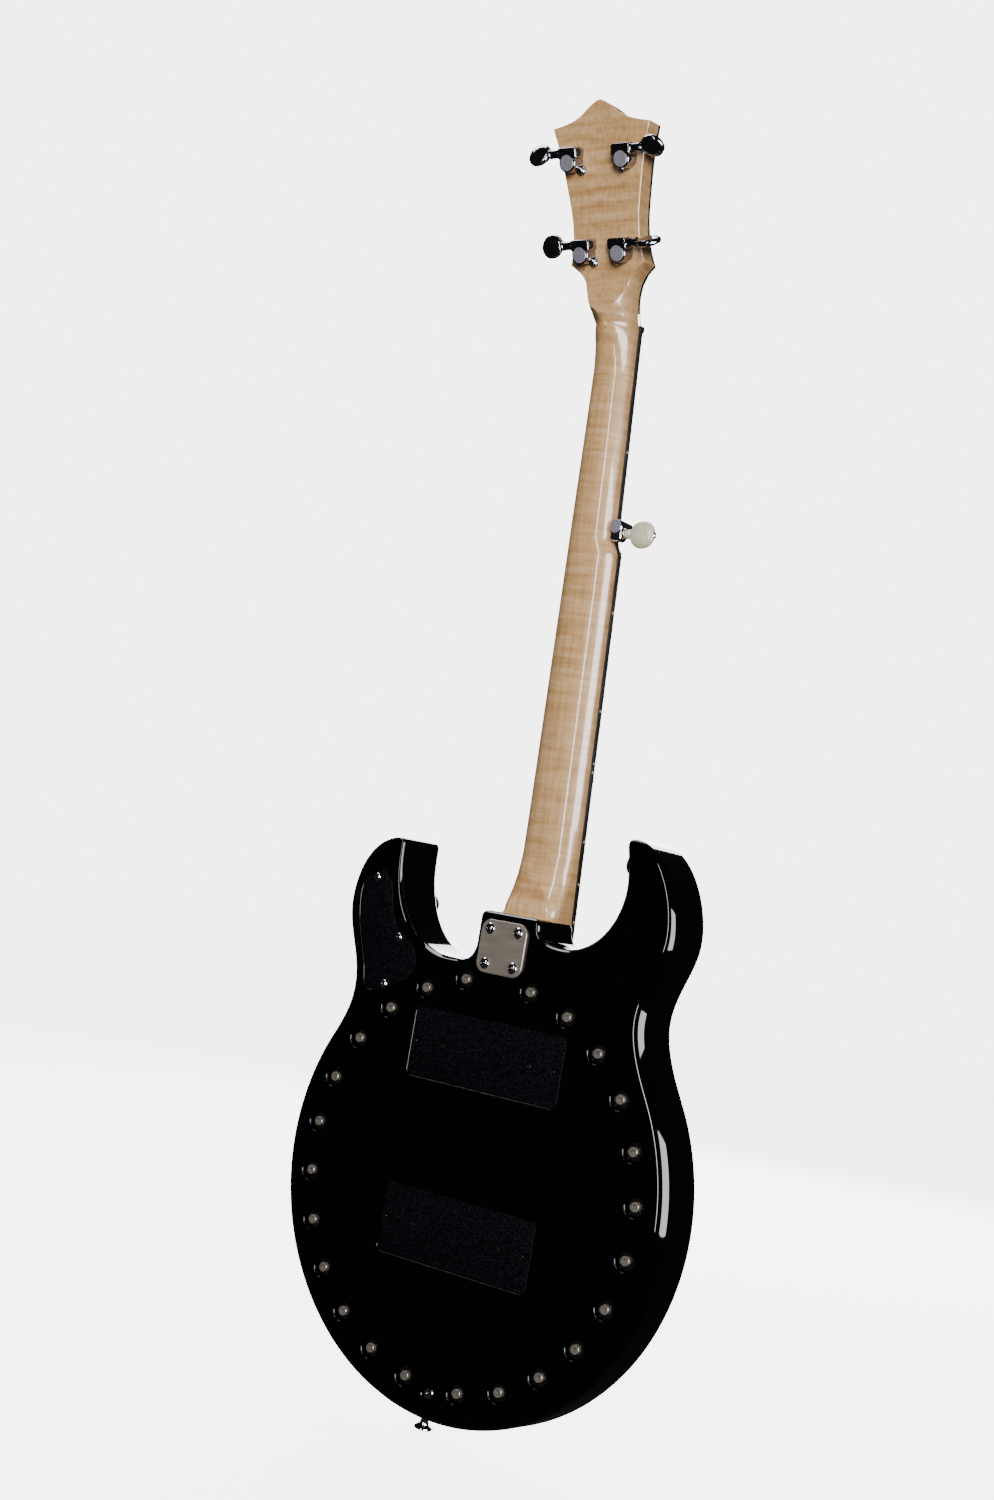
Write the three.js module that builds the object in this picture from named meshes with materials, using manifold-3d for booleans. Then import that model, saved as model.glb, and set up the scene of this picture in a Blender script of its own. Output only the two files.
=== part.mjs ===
// Solid-body electric five-string banjo, built as separate pieces.
// Millimetres. +Z runs up the neck, -Y is the playing side, +Y is the back, +X is the treble side.
// The origin is the centre of the bolt circle on the flat back of the body.

import * as THREE from 'three';
import { mergeVertices } from 'three/addons/utils/BufferGeometryUtils.js';
import Module from 'manifold-3d';

const wasm = await Module();
wasm.setup();

const DEG = Math.PI / 180;
const GAP = 0.3;

// body
const BODY_R = 170;
const BODY_T = 44.5;
const EDGE = 10.5;
const RIM_R = 171.4;
const FRONT = -BODY_T;
const HORN_EDGE = 2.2;
const HEEL_EDGE = 3.2;
const SHOULDER = 28.8 * DEG;

// tension bolts
const BOLT_CIRCLE = 146.3;
const BOLTS_PER_SIDE = 12;
const BOLT_FIRST = 11.66;
const BOLT_STEP = 14.4425;
const COUNTERBORE_R = 7.75;
const COUNTERBORE_D = 5;
const BOLT_HOLE_R = 3.1;
const BOLT_R = 2.3;
const BOLT_HEAD_R = 3.6;
const BOLT_HEAD_TOP = -0.6;
const TAIL_Z = -150.8;

// back covers
const COVER_W = 137;
const COVER_H = 51;
const COVER_T = 2;
const RECESS = 2.3;
const COVER_Z = [92, -38];
const COVER_SCREW_X = 63.3;
const PICKUP_SCREW_X = 39.5;

// scale
const SCALE = 666.75;
const NUT_Z = 633.75;
const BRIDGE_Z = NUT_Z - SCALE;
const FRETS = 22;
const fretDistance = (n) => SCALE * (1 - 2 ** (-n / 12));

// neck
const NECK_TILT = 3.68 * DEG;
const BOARD_Z = 153;
const BOARD_Y = -53.15;
const BOARD_T = 4.5;
const BOARD_END_Z = 151.5;
const NUT_HALF = 15.9;
const TREBLE_TAPER = 0.0194;
const BUMP_TOP_Z = 478;
const BUMP_LOW_Z = 466;
const BASS_AT_BUMP = 23.1;
const BASS_TAPER = 0.0045;
const POCKET_FLOOR = -18.3;
const POCKET_HALF = 25.7;
const HEEL_HALF = 25.2;
const HEEL_END_Z = 151.8;
const RIDGE = 58 * DEG;
const PLATE_Z = 170.2;
const PLATE_SCREW = 12.7;

// headstock, in its own tilted frame: x across, y out of its back face, z along it
const HEAD_TILT = 21.53 * DEG;
const HEAD_Y = 0.2;
const HEAD_Z = 640;
const HEAD_T = 12.5;
const HEAD_SHEAR = Math.tan(HEAD_TILT - NECK_TILT);
const OVERLAY_T = 1.6;
const OVERLAY_FRONT = -(HEAD_T + GAP + OVERLAY_T);

// head, hoop and strings
const HEAD_TOP = -52.8;
const HEAD_R = 139.9;
const HOOP_R = 150.5;
const HOOP_TOP = -54.5;
const BRIDGE_TOP = -68.5;
const STRING_GAP_BRIDGE = 10.5;
const STRING_GAP_NUT = 7.8;
const STRING_R = [0.26, 0.3, 0.36, 0.5, 0.26];

// tuners: post axis [x, z] in the headstock frame
const UPPER_POST = [23.7, 110.9];
const LOWER_POST = [16.6, 45.2];
const POST_R = 3;
const CAP_R = 7.15;
const CAP_TOP = 11.5;
const WORM_UP = 7;
const WORM_Y = 7.6;
const FIFTH_POST = { x: -25, z: 487.1 };
const FIFTH_CAP = -15.7;
const FIFTH_WORM = { y: -21, z: 482.3 };

// controls on the treble horn: [x, z]
const VOLUME = [120.5, 191];
const TONE = [108.8, 152.6];
const SELECTOR = [94.5, 144.5];
const CAVITY_FLOOR = -39;
const JACK_Z = -2.8;
const MID_Y = -BODY_T / 2;

const model = new THREE.Group();

const COLOURS = {
  lacquer: [0x050506, 0.12, 0],
  maple: [0xd9b98a, 0.3, 0],
  ebony: [0x0c0a09, 0.45, 0],
  overlay: [0x141012, 0.25, 0],
  black: [0x0d0d0f, 0.6, 0],
  pebble: [0x101014, 0.7, 0],
  chrome: [0xd8d8dc, 0.12, 1],
  nickel: [0x8d8880, 0.35, 1],
  steel: [0xb8b8bc, 0.3, 1],
  brass: [0xb08d4a, 0.35, 1],
  head: [0xf0eee6, 0.6, 0],
  bridge: [0xc79a5e, 0.5, 0],
  pearl: [0xe9e6d2, 0.3, 0],
};

function material(key) {
  const [color, roughness, metalness] = COLOURS[key];
  return new THREE.MeshStandardMaterial({ color, roughness, metalness });
}

function add(name, geometry, key, parent = model) {
  const mesh = new THREE.Mesh(geometry, material(key));
  mesh.name = name;
  parent.add(mesh);
  return mesh;
}

// solids and booleans

function toSolid(geometry) {
  const plain = geometry.clone();
  plain.deleteAttribute('normal');
  plain.deleteAttribute('uv');
  const merged = mergeVertices(plain);
  return new wasm.Manifold(new wasm.Mesh({
    numProp: 3,
    vertProperties: new Float32Array(merged.attributes.position.array),
    triVerts: new Uint32Array(merged.index.array),
  }));
}

function toGeometry(solid) {
  const mesh = solid.getMesh();
  const geometry = new THREE.BufferGeometry();
  geometry.setAttribute('position', new THREE.BufferAttribute(mesh.vertProperties, 3));
  geometry.setIndex(new THREE.BufferAttribute(mesh.triVerts, 1));
  geometry.computeVertexNormals();
  return geometry;
}

function join(...geometries) {
  return toGeometry(geometries.map(toSolid).reduce((sum, next) => sum.add(next)));
}

function cut(geometry, ...tools) {
  return toGeometry(tools.map(toSolid).reduce((rest, tool) => rest.subtract(tool), toSolid(geometry)));
}

// basic shapes

function box(x0, x1, y0, y1, z0, z1) {
  const geometry = new THREE.BoxGeometry(x1 - x0, y1 - y0, z1 - z0);
  return geometry.translate((x0 + x1) / 2, (y0 + y1) / 2, (z0 + z1) / 2);
}

function rodY(r, y0, y1, x, z, sides = 16, r1 = r) {
  const geometry = new THREE.CylinderGeometry(r1, r, y1 - y0, sides);
  return geometry.translate(x, (y0 + y1) / 2, z);
}

function rodX(r, x0, x1, y, z, sides = 16) {
  const geometry = new THREE.CylinderGeometry(r, r, x1 - x0, sides);
  return geometry.rotateZ(Math.PI / 2).translate((x0 + x1) / 2, y, z);
}

// a flat shape drawn in x and z, between two depths
function slab(shape, y0, y1, curveSegments = 6) {
  const geometry = new THREE.ExtrudeGeometry(shape, { depth: y1 - y0, bevelEnabled: false, curveSegments });
  return geometry.rotateX(Math.PI / 2).translate(0, y1, 0);
}

function roundedRect(x, z, w, h, r) {
  const shape = new THREE.Shape();
  const [left, right, low, high] = [x - w / 2, x + w / 2, z - h / 2, z + h / 2];
  shape.absarc(right - r, low + r, r, -Math.PI / 2, 0);
  shape.absarc(right - r, high - r, r, 0, Math.PI / 2);
  shape.absarc(left + r, high - r, r, Math.PI / 2, Math.PI);
  shape.absarc(left + r, low + r, r, Math.PI, 1.5 * Math.PI);
  return shape;
}

// a closed solid through rings of equal count, capped flat at both ends
function loft(rings, across, along) {
  const count = rings[0].length;
  const contour = (ring) => ring.map((p) => new THREE.Vector2(p[across], p[along]));
  const positions = rings.flat().flatMap((p) => [p.x, p.y, p.z]);
  const triangles = [];
  for (let k = 0; k < rings.length - 1; k += 1) {
    for (let i = 0; i < count; i += 1) {
      const a = k * count + i;
      const b = k * count + ((i + 1) % count);
      triangles.push([a, b, b + count], [a, b + count, a + count]);
    }
  }
  const cap = (ring, offset, flip) => {
    const points = contour(ring);
    const turn = Math.sign(THREE.ShapeUtils.area(points));
    for (const face of THREE.ShapeUtils.triangulateShape(points, [])) {
      const same = Math.sign(THREE.ShapeUtils.area(face.map((i) => points[i]))) === turn;
      const [a, b, c] = face.map((i) => i + offset);
      triangles.push(same === flip ? [a, c, b] : [a, b, c]);
    }
  };
  cap(rings[0], 0, true);
  cap(rings[rings.length - 1], (rings.length - 1) * count, false);
  const point = (i) => new THREE.Vector3(...positions.slice(3 * i, 3 * i + 3));
  const volume = triangles.reduce((sum, [a, b, c]) => sum + point(a).dot(point(b).cross(point(c))), 0);
  const index = triangles.flatMap(([a, b, c]) => (volume < 0 ? [a, c, b] : [a, b, c]));
  const geometry = new THREE.BufferGeometry();
  geometry.setAttribute('position', new THREE.Float32BufferAttribute(positions, 3));
  geometry.setIndex(index);
  return geometry;
}

const point = (x, y, z) => new THREE.Vector3(x, y, z);
const boardY = (z) => BOARD_Y + (z - BOARD_Z) * Math.tan(NECK_TILT);

function headPoint(x, y, z) {
  const [c, s] = [Math.cos(HEAD_TILT), Math.sin(HEAD_TILT)];
  return point(x, HEAD_Y + y * c + z * s, HEAD_Z - y * s + z * c);
}

const sign = { treble: 1, bass: -1 };

// body -------------------------------------------------------------------------------------------

const vec = (x, z) => new THREE.Vector2(x, z);
const curve = (...pairs) => new THREE.CubicBezierCurve(...pairs.map(([x, z]) => vec(x, z)));
const line = (a, b) => new THREE.LineCurve(vec(...a), vec(...b));
const onRim = (angle) => [BODY_R * Math.cos(angle), BODY_R * Math.sin(angle)];

// each stretch of the outline, anticlockwise from the treble shoulder: curve, steps, edge radius at its end
function outlineStretches() {
  const [treble, bass] = [onRim(SHOULDER), onRim(Math.PI - SHOULDER)];
  const rim = new THREE.ArcCurve(0, 0, BODY_R, Math.PI - SHOULDER, 2 * Math.PI + SHOULDER);
  return [
    [curve(treble, [141.3, 96], [136.2, 108], [136.2, 121]), 5, EDGE],
    [curve([136.2, 121], [136.2, 145], [151.7, 162], [151.7, 186]), 6, EDGE],
    [curve([151.7, 186], [151.7, 212], [138, 236.5], [113.5, 237.8]), 9, HORN_EDGE],
    [curve([113.5, 237.8], [109.5, 238], [108.2, 236.5], [108.3, 232]), 4, HORN_EDGE],
    [curve([108.3, 232], [108.6, 186], [84, 156.5], [50, 156.5]), 10, EDGE],
    [line([50, 156.5], [40, 156.5]), 1, EDGE],
    [curve([40, 156.5], [31, 156.5], [25.4, 163], [25.4, 172]), 4, HEEL_EDGE],
    [line([25.4, 172], [25.4, 190.5]), 1, HEEL_EDGE],
    [curve([25.4, 190.5], [25.4, 193.5], [23.4, 195.5], [20.4, 195.5]), 3, HEEL_EDGE],
    [line([20.4, 195.5], [-22, 195.5]), 1, HEEL_EDGE],
    [curve([-22, 195.5], [-26.5, 195.5], [-28, 193], [-28.4, 189]), 3, HEEL_EDGE],
    [curve([-28.4, 189], [-29.5, 181], [-36, 177.6], [-50, 177.6]), 5, EDGE],
    [curve([-50, 177.6], [-78, 177.6], [-96.4, 205], [-95.9, 229.5]), 8, EDGE],
    [curve([-95.9, 229.5], [-95.5, 240], [-93, 250], [-91.8, 256]), 3, HORN_EDGE],
    [curve([-91.8, 256], [-90.8, 260.5], [-93.5, 262.8], [-98.5, 262.5]), 4, HORN_EDGE],
    [curve([-98.5, 262.5], [-120, 261], [-140.3, 226], [-140.3, 198]), 8, EDGE],
    [curve([-140.3, 198], [-140.3, 178], [-126.2, 160], [-126.2, 139]), 6, EDGE],
    [curve([-126.2, 139], [-126.2, 118], [-142.3, 94.3], bass), 6, EDGE],
    [rim, 48, EDGE],
  ];
}

function outlinePoints() {
  const points = [];
  let from = EDGE;
  for (const [stretch, steps, to] of outlineStretches()) {
    stretch.getPoints(steps).slice(0, -1).forEach((p, i) => {
      points.push({ p, edge: from + ((to - from) * i) / steps });
    });
    from = to;
  }
  return points;
}

// the rounded sides stand outside the drawn outline by more where the edge is rounder
function bodyBlank() {
  const outline = outlinePoints();
  const count = outline.length;
  const level = (angle, front) => outline.map(({ p, edge }, i) => {
    const before = outline[(i + count - 1) % count].p;
    const after = outline[(i + 1) % count].p;
    const along = after.clone().sub(before).normalize();
    const swell = ((RIM_R - BODY_R) * Math.max(edge - HEEL_EDGE, 0)) / (EDGE - HEEL_EDGE);
    const inset = edge * (1 - Math.cos(angle)) - swell;
    const depth = edge * (1 - Math.sin(angle));
    const [x, z] = [p.x - along.y * inset, p.y + along.x * inset];
    return point(x, front ? FRONT + depth : -depth, z);
  });
  const angles = [90, 60, 30, 0].map((a) => a * DEG);
  const rings = [
    ...angles.map((a) => level(a, false)),
    ...angles.toReversed().map((a) => level(a, true)),
  ];
  return loft(rings, 'x', 'z');
}

function boltPlaces() {
  const places = [];
  for (let k = 0; k < BOLTS_PER_SIDE; k += 1) {
    const angle = (BOLT_FIRST + k * BOLT_STEP) * DEG;
    for (const side of Object.values(sign)) {
      places.push([side * BOLT_CIRCLE * Math.sin(angle), BOLT_CIRCLE * Math.cos(angle)]);
    }
  }
  return places;
}

const CONTROL_SCREWS = [[128.2, 205.4], [97.8, 163.8], [104.4, 127.5]];

function controlCoverShape() {
  const shape = new THREE.Shape();
  shape.moveTo(125, 210.3);
  shape.bezierCurveTo(118, 210.6, 113.5, 207, 112, 200);
  shape.bezierCurveTo(109.5, 189, 107.5, 181, 103, 173.5);
  shape.bezierCurveTo(99, 167.5, 89, 164.5, 83, 159);
  shape.bezierCurveTo(77.5, 154, 76, 146, 80.5, 139.5);
  shape.bezierCurveTo(85, 133, 97, 126.5, 107, 122.8);
  shape.bezierCurveTo(113, 121, 119, 121, 121.5, 123.5);
  shape.bezierCurveTo(125, 127, 124.5, 133, 127, 141);
  shape.bezierCurveTo(131, 153, 139.5, 170, 140.8, 187);
  shape.bezierCurveTo(142, 201, 138, 208.5, 132, 209.8);
  return shape;
}

// the control cover's outline drawn in or out about its middle
function controlOutline(scale) {
  const middle = vec(110, 166);
  const points = controlCoverShape().getPoints(4);
  return new THREE.Shape(points.map((p) => p.clone().sub(middle).multiplyScalar(scale).add(middle)));
}

function makeBody() {
  const coverScrews = COVER_Z.flatMap((z) => [[-COVER_SCREW_X, z], [COVER_SCREW_X, z]]);
  const pillars = CONTROL_SCREWS.map(([x, z]) => rodY(4.6, CAVITY_FLOOR - 1, -RECESS, x, z, 10));
  const tools = [
    box(-POCKET_HALF, POCKET_HALF, FRONT - 5, POCKET_FLOOR, HEEL_END_Z - GAP, 205),
    slab(controlOutline(1.02), -RECESS, 5),
    cut(slab(controlOutline(0.88), CAVITY_FLOOR, 5), ...pillars),
    rodX(9.8, 140, 180, MID_Y, JACK_Z, 20),
    rodY(4, FRONT - 5, -30, ...VOLUME, 12),
    rodY(4, FRONT - 5, -30, ...TONE, 12),
    rodY(6.2, FRONT - 5, -30, ...SELECTOR, 14),
    rodY(2.9, FRONT - 5, 5, 0, TAIL_Z, 10),
    rodY(5.6, -4, 5, 0, TAIL_Z, 14),
  ];
  for (const z of COVER_Z) {
    tools.push(slab(roundedRect(0, z, COVER_W + 0.8, COVER_H + 0.8, 4.9), -RECESS, 5, 3));
    tools.push(box(-52, 52, FRONT - 5, 1, z - 19, z + 19));
  }
  for (const [x, z] of [...coverScrews, ...CONTROL_SCREWS]) {
    tools.push(rodY(1.9, -13, 5, x, z, 8));
  }
  for (const [x, z] of plateScrewPlaces()) {
    tools.push(rodY(2.6, FRONT, 5, x, z, 10));
  }
  for (const [x, z] of boltPlaces()) {
    tools.push(rodY(BOLT_HOLE_R, FRONT - 5, 5, x, z, 6));
    tools.push(rodY(COUNTERBORE_R, -COUNTERBORE_D, 5, x, z, 10));
  }
  add('body', cut(bodyBlank(), ...tools), 'lacquer');
}

function plateScrewPlaces() {
  const pair = [-PLATE_SCREW, PLATE_SCREW];
  return pair.flatMap((x) => pair.map((z) => [x, PLATE_Z + z]));
}

// a screw with a domed or flat head, cross recess cut in it, its shank running forward
function screw(x, z, headTop, headR, headT, shankR, tip, dome) {
  const head = rodY(headR * (dome ? 1 : 0.5), headTop - headT, headTop - dome, x, z, 10, headR);
  const crown = rodY(headR, headTop - dome - 0.01, headTop, x, z, 10, headR * 0.55);
  const shank = rodY(shankR, tip, headTop - headT + 0.1, x, z, 6);
  const whole = dome ? join(head, crown, shank) : join(head, shank);
  const arm = headR * 0.5;
  return cut(
    whole,
    box(x - arm, x + arm, headTop - 0.9, headTop + 1, z - 0.45, z + 0.45),
    box(x - 0.45, x + 0.45, headTop - 0.9, headTop + 1, z - arm, z + arm),
  );
}

function makeBackHardware() {
  const names = ['neck_pickup_cover', 'bridge_pickup_cover'];
  const top = -0.2;
  COVER_Z.forEach((z, i) => {
    const plate = slab(roundedRect(0, z, COVER_W, COVER_H, 4.5), top - COVER_T, top, 3);
    const holes = [-1, 1].flatMap((side) => [
      rodY(2, -6, 2, side * COVER_SCREW_X, z, 12),
      rodY(2, -1.9, 1, side * COVER_SCREW_X, z, 12, 5.35),
      rodY(2.1, -6, 2, side * PICKUP_SCREW_X, z, 10),
    ]);
    add(names[i], cut(plate, ...holes), 'pebble');
    for (const side of [-1, 1]) {
      const number = 2 * i + (side > 0 ? 2 : 1);
      const piece = screw(side * COVER_SCREW_X, z, top - 0.05, 3.3, 1.5, 1.5, -12, 0);
      add(`pickup_cover_screw_${number}`, piece, 'black');
    }
  });

  const coverHoles = CONTROL_SCREWS.map(([x, z]) => rodY(2, -6, 2, x, z, 10));
  add('control_cover', cut(slab(controlOutline(1), top - COVER_T, top), ...coverHoles), 'pebble');
  CONTROL_SCREWS.forEach(([x, z], i) => {
    add(`control_cover_screw_${i + 1}`, screw(x, z, 1.6, 3.1, 1.7, 1.5, -12, 0.9), 'chrome');
  });

  const plate = slab(roundedRect(0, PLATE_Z, 41, 39, 8), 0.05, 2.05, 5);
  add('neck_plate', cut(plate, ...plateScrewPlaces().map(([x, z]) => rodY(2.6, -2, 5, x, z, 10))), 'nickel');
  plateScrewPlaces().forEach(([x, z], i) => {
    add(`neck_plate_screw_${i + 1}`, screw(x, z, 4.2, 4.1, 2, 2.1, -31, 1.4), 'chrome');
  });
}

// a strap button standing on its base along +y
function strapButton(height) {
  const profile = [[0, 0], [5, 0], [4.6, 1.6], [3, 3.6], [2.8, height - 6], [3.4, height - 4],
    [6.6, height - 2.4], [6.8, height - 1.2], [5, height], [0, height]];
  return new THREE.LatheGeometry(profile.map(([r, y]) => vec(r, y)), 12);
}

function makeStrapButtons() {
  const angle = Math.asin(14.5 / RIM_R);
  const tail = add('strap_button_tail', strapButton(11.6).rotateX(-Math.PI / 2), 'chrome');
  tail.rotation.y = -angle;
  const reach = RIM_R + GAP;
  tail.position.set(reach * Math.sin(angle), MID_Y, -reach * Math.cos(angle));
  const horn = add('strap_button_horn', strapButton(10).rotateZ(-Math.PI / 2), 'chrome');
  horn.position.set(-92.5, MID_Y, 244.5);
}

// drum head -------------------------------------------------------------------------------------

// turned about the y axis from [radius, y] pairs, anticlockwise
function lathe(pairs, segments) {
  return new THREE.LatheGeometry(pairs.map(([r, y]) => vec(r, y)), segments);
}

function makeDrum() {
  const ring = lathe([[131, -51.9], [138.4, -51.9], [138.4, -44.8], [131, -44.8], [131, -51.9]], 48);
  add('tone_ring', ring, 'brass');
  const skin = lathe([
    [0, HEAD_TOP], [139.2, HEAD_TOP], [HEAD_R, HEAD_TOP + 0.5], [HEAD_R, -48], [141.8, -48],
    [141.8, -45.6], [138.9, -45.6], [138.9, HEAD_TOP + 0.6], [0, HEAD_TOP + 0.6],
  ], 48);
  add('drum_head', cut(skin, slab(roundedRect(0, COVER_Z[0], 78, 24, 4), -60, -50, 3)), 'head');

  const hoop = lathe([
    [140.4, HOOP_TOP], [HOOP_R, HOOP_TOP], [HOOP_R, -45.3], [142.3, -45.3], [142.3, -48.4], [140.4, -48.4],
    [140.4, HOOP_TOP],
  ], 48);
  const notch = box(-10, 10, -60, -40, -155, -147.4);
  const bolts = boltPlaces().flatMap(([x, z]) => [
    rodY(BOLT_R, -50, BOLT_HEAD_TOP - 3, x, z, 6),
    rodY(BOLT_HEAD_R, BOLT_HEAD_TOP - 3.4, BOLT_HEAD_TOP, x, z, 8),
  ]);
  add('tension_hoop', join(cut(hoop, notch), ...bolts), 'nickel');
}

function makeTailpiece() {
  const profile = new THREE.Shape([[-44.9, -147.7], [-44.9, -158], [-61, -158], [-60.4, -120], [-58.4, -120],
    [-58.6, -156], [-46.9, -156], [-46.9, -147.7]].map(([y, z]) => vec(y, z)));
  const hook = new THREE.ExtrudeGeometry(profile, { depth: 18, bevelEnabled: false });
  const arm = new THREE.Matrix4().set(0, 0, 1, -9, 1, 0, 0, 0, 0, 1, 0, 0, 0, 0, 0, 1);
  hook.applyMatrix4(arm);
  const fan = new THREE.Shape([[-9, -124], [9, -124], [26, -112], [26, -106], [-26, -106], [-26, -112]]
    .map(([x, z]) => vec(x, z)));
  const plate = slab(fan, -60.6, -58.2);
  const hole = rodY(2.6, -50, -40, 0, TAIL_Z, 10);
  add('tailpiece', cut(join(hook, plate), hole), 'chrome');
  const bolt = join(rodY(2.2, -52, -3, 0, TAIL_Z, 8), rodY(4, -3.6, -0.8, 0, TAIL_Z, 14));
  add('tailpiece_bolt', cut(bolt, box(-4, 4, -1.6, 1, TAIL_Z - 0.5, TAIL_Z + 0.5)), 'chrome');
}

const stringX = (i) => ({ bridge: STRING_GAP_BRIDGE * (2 - i), nut: STRING_GAP_NUT * (1.5 - i) });

function makeBridge() {
  const half = 39;
  const foot = HEAD_TOP - GAP;
  const shape = new THREE.Shape();
  shape.moveTo(-half, foot);
  shape.lineTo(-half + 9, foot);
  shape.bezierCurveTo(-half + 11, foot - 9, -7, foot - 9, -5, foot);
  shape.lineTo(5, foot);
  shape.bezierCurveTo(7, foot - 9, half - 11, foot - 9, half - 9, foot);
  shape.lineTo(half, foot);
  shape.bezierCurveTo(half - 3, foot - 8, half - 8, BRIDGE_TOP, half - 12, BRIDGE_TOP);
  shape.lineTo(-half + 12, BRIDGE_TOP);
  shape.bezierCurveTo(-half + 8, BRIDGE_TOP, -half + 3, foot - 8, -half, foot);
  const geometry = new THREE.ExtrudeGeometry(shape, { depth: 4.4, bevelEnabled: false, curveSegments: 6 });
  add('bridge', geometry.translate(0, 0, BRIDGE_Z - 2.2), 'bridge');
}

function makePickups() {
  const tops = [-55.2, -50.9];
  ['neck_pickup', 'bridge_pickup'].forEach((name, i) => {
    const z = COVER_Z[i];
    const base = box(-46, 46, -42, -34, z - 15, z + 15);
    const coil = slab(roundedRect(0, z, 72, 18, 4), tops[i], -41.9, 3);
    const screws = [-1, 1].map((side) => rodY(1.5, -35, -0.7, side * PICKUP_SCREW_X, z, 8));
    add(name, join(base, coil, ...screws), 'black');
  });
}

// neck ------------------------------------------------------------------------------------------

const trebleHalf = (z) => NUT_HALF + (NUT_Z - z) * TREBLE_TAPER;

function bassHalf(z) {
  const low = BASS_AT_BUMP + (BUMP_LOW_Z - z) * BASS_TAPER;
  if (z <= BUMP_LOW_Z) return low;
  if (z >= BUMP_TOP_Z) return trebleHalf(z);
  const blend = THREE.MathUtils.smoothstep(z, BUMP_LOW_Z, BUMP_TOP_Z);
  return THREE.MathUtils.lerp(low, trebleHalf(z), blend);
}

// one cross-section: flat front, straight sides, a round shoulder that meets a flat back of half-width
// flat, smoothly when crease is a right angle and in a ridge when it is less
function section({ bass, treble, depth, side, flat, crease = 90 * DEG }, place) {
  const steps = 6;
  const [rise, foot] = [Math.sin(crease), Math.cos(crease)];
  const points = [place(-bass, 0), place(treble, 0)];
  const quarter = (edge, direction) => {
    const run = [];
    for (let i = 0; i <= steps; i += 1) {
      const t = (i / steps) * crease;
      const half = flat + ((edge - flat) * (Math.cos(t) - foot)) / (1 - foot);
      run.push(place(direction * half, side + ((depth - side) * Math.sin(t)) / rise));
    }
    return run;
  };
  points.push(...quarter(treble, 1));
  points.push(...quarter(bass, -1).reverse());
  return points;
}

function neckRings() {
  const front = (z) => boardY(z) + BOARD_T + GAP;
  const level = (z, depth, side, flat, crease) => {
    const bass = Math.min(bassHalf(z), HEEL_HALF);
    const shape = { bass, treble: trebleHalf(z), depth, side, flat, crease };
    return section(shape, (x, d) => point(x, front(z) + d, z));
  };
  const heel = (z) => {
    const depth = POCKET_FLOOR - GAP - front(z);
    const shape = { bass: HEEL_HALF, treble: HEEL_HALF, depth, side: depth - 0.6, flat: HEEL_HALF - 0.6 };
    return section(shape, (x, d) => point(x, front(z) + d, z));
  };
  const rings = [heel(HEEL_END_Z), heel(192)];
  rings.push(level(197, 25.3, 17, 18.4, RIDGE));
  rings.push(level(203, 24.4, 15.5, 16.8, RIDGE));
  rings.push(level(210, 22.9, 12, 12.6, RIDGE));
  rings.push(level(220, 20.9, 8.5, 6.5, RIDGE));
  rings.push(level(231, 18.6, 5, 0.8));
  rings.push(level(245, 16.8, 3.2, 0.5));
  rings.push(level(340, 16, 2.5, 0.5));
  rings.push(level(BUMP_LOW_Z - 3, 15.5, 2.5, 0.5));
  rings.push(level(BUMP_LOW_Z + 2, 15.5, 2.5, 0.5));
  rings.push(level(BUMP_LOW_Z + 6, 15.5, 2.5, 0.5));
  rings.push(level(BUMP_LOW_Z + 10, 15.5, 2.5, 0.5));
  rings.push(level(BUMP_TOP_Z, 15.4, 2.5, 0.5));
  rings.push(level(560, 15, 2.3, 0.5));
  rings.push(level(600, 15, 2.3, 0.5));
  rings.push(level(612, 16.8, 2.4, 0.5));
  rings.push(level(620, 19, 2.5, 0.5));
  rings.push(level(627, 22.3, 2.7, 0.5));
  rings.push(level(633, 26, 2.8, 0.5, 70 * DEG));
  rings.push(...headRings());
  return rings;
}

// cross-sections from behind the nut to the headstock's shoulders, square to the fingerboard; extra
// is how far the crest behind the nut stands above the plane of the headstock's back
function headRings() {
  const ring = (z, half, side, flat, extra, crease) => {
    const shape = { bass: half, treble: half, depth: HEAD_T + extra, side, flat, crease };
    return section(shape, (x, d) => headPoint(x, d - HEAD_T, z + (d - HEAD_T) * HEAD_SHEAR));
  };
  return [
    ring(1, 16.9, 2.8, 3, 13, RIDGE),
    ring(4.5, 17.2, 2.8, 8.5, 11.2, RIDGE),
    ring(8, 17.5, 2.9, 11.8, 9.2, RIDGE),
    ring(12, 18, 3.1, 14.3, 6.9, RIDGE),
    ring(18, 19.2, 3.4, 17, 3.6, RIDGE),
    ring(25, 21.8, 4.1, 19.6, 0.8, RIDGE),
    ring(32, 26.6, 6, 24.2, 0, RIDGE),
    ring(36, 31, 9, 29.6, 0, RIDGE),
    ring(38, 33.2, HEAD_T - 0.6, 32.6, 0, RIDGE),
  ];
}

// the headstock's sides are cut square to the fingerboard, so they slant across its own thickness
function slanted(geometry) {
  return geometry.applyMatrix4(new THREE.Matrix4().makeShear(0, 0, 0, HEAD_SHEAR, 0, 0));
}

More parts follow.
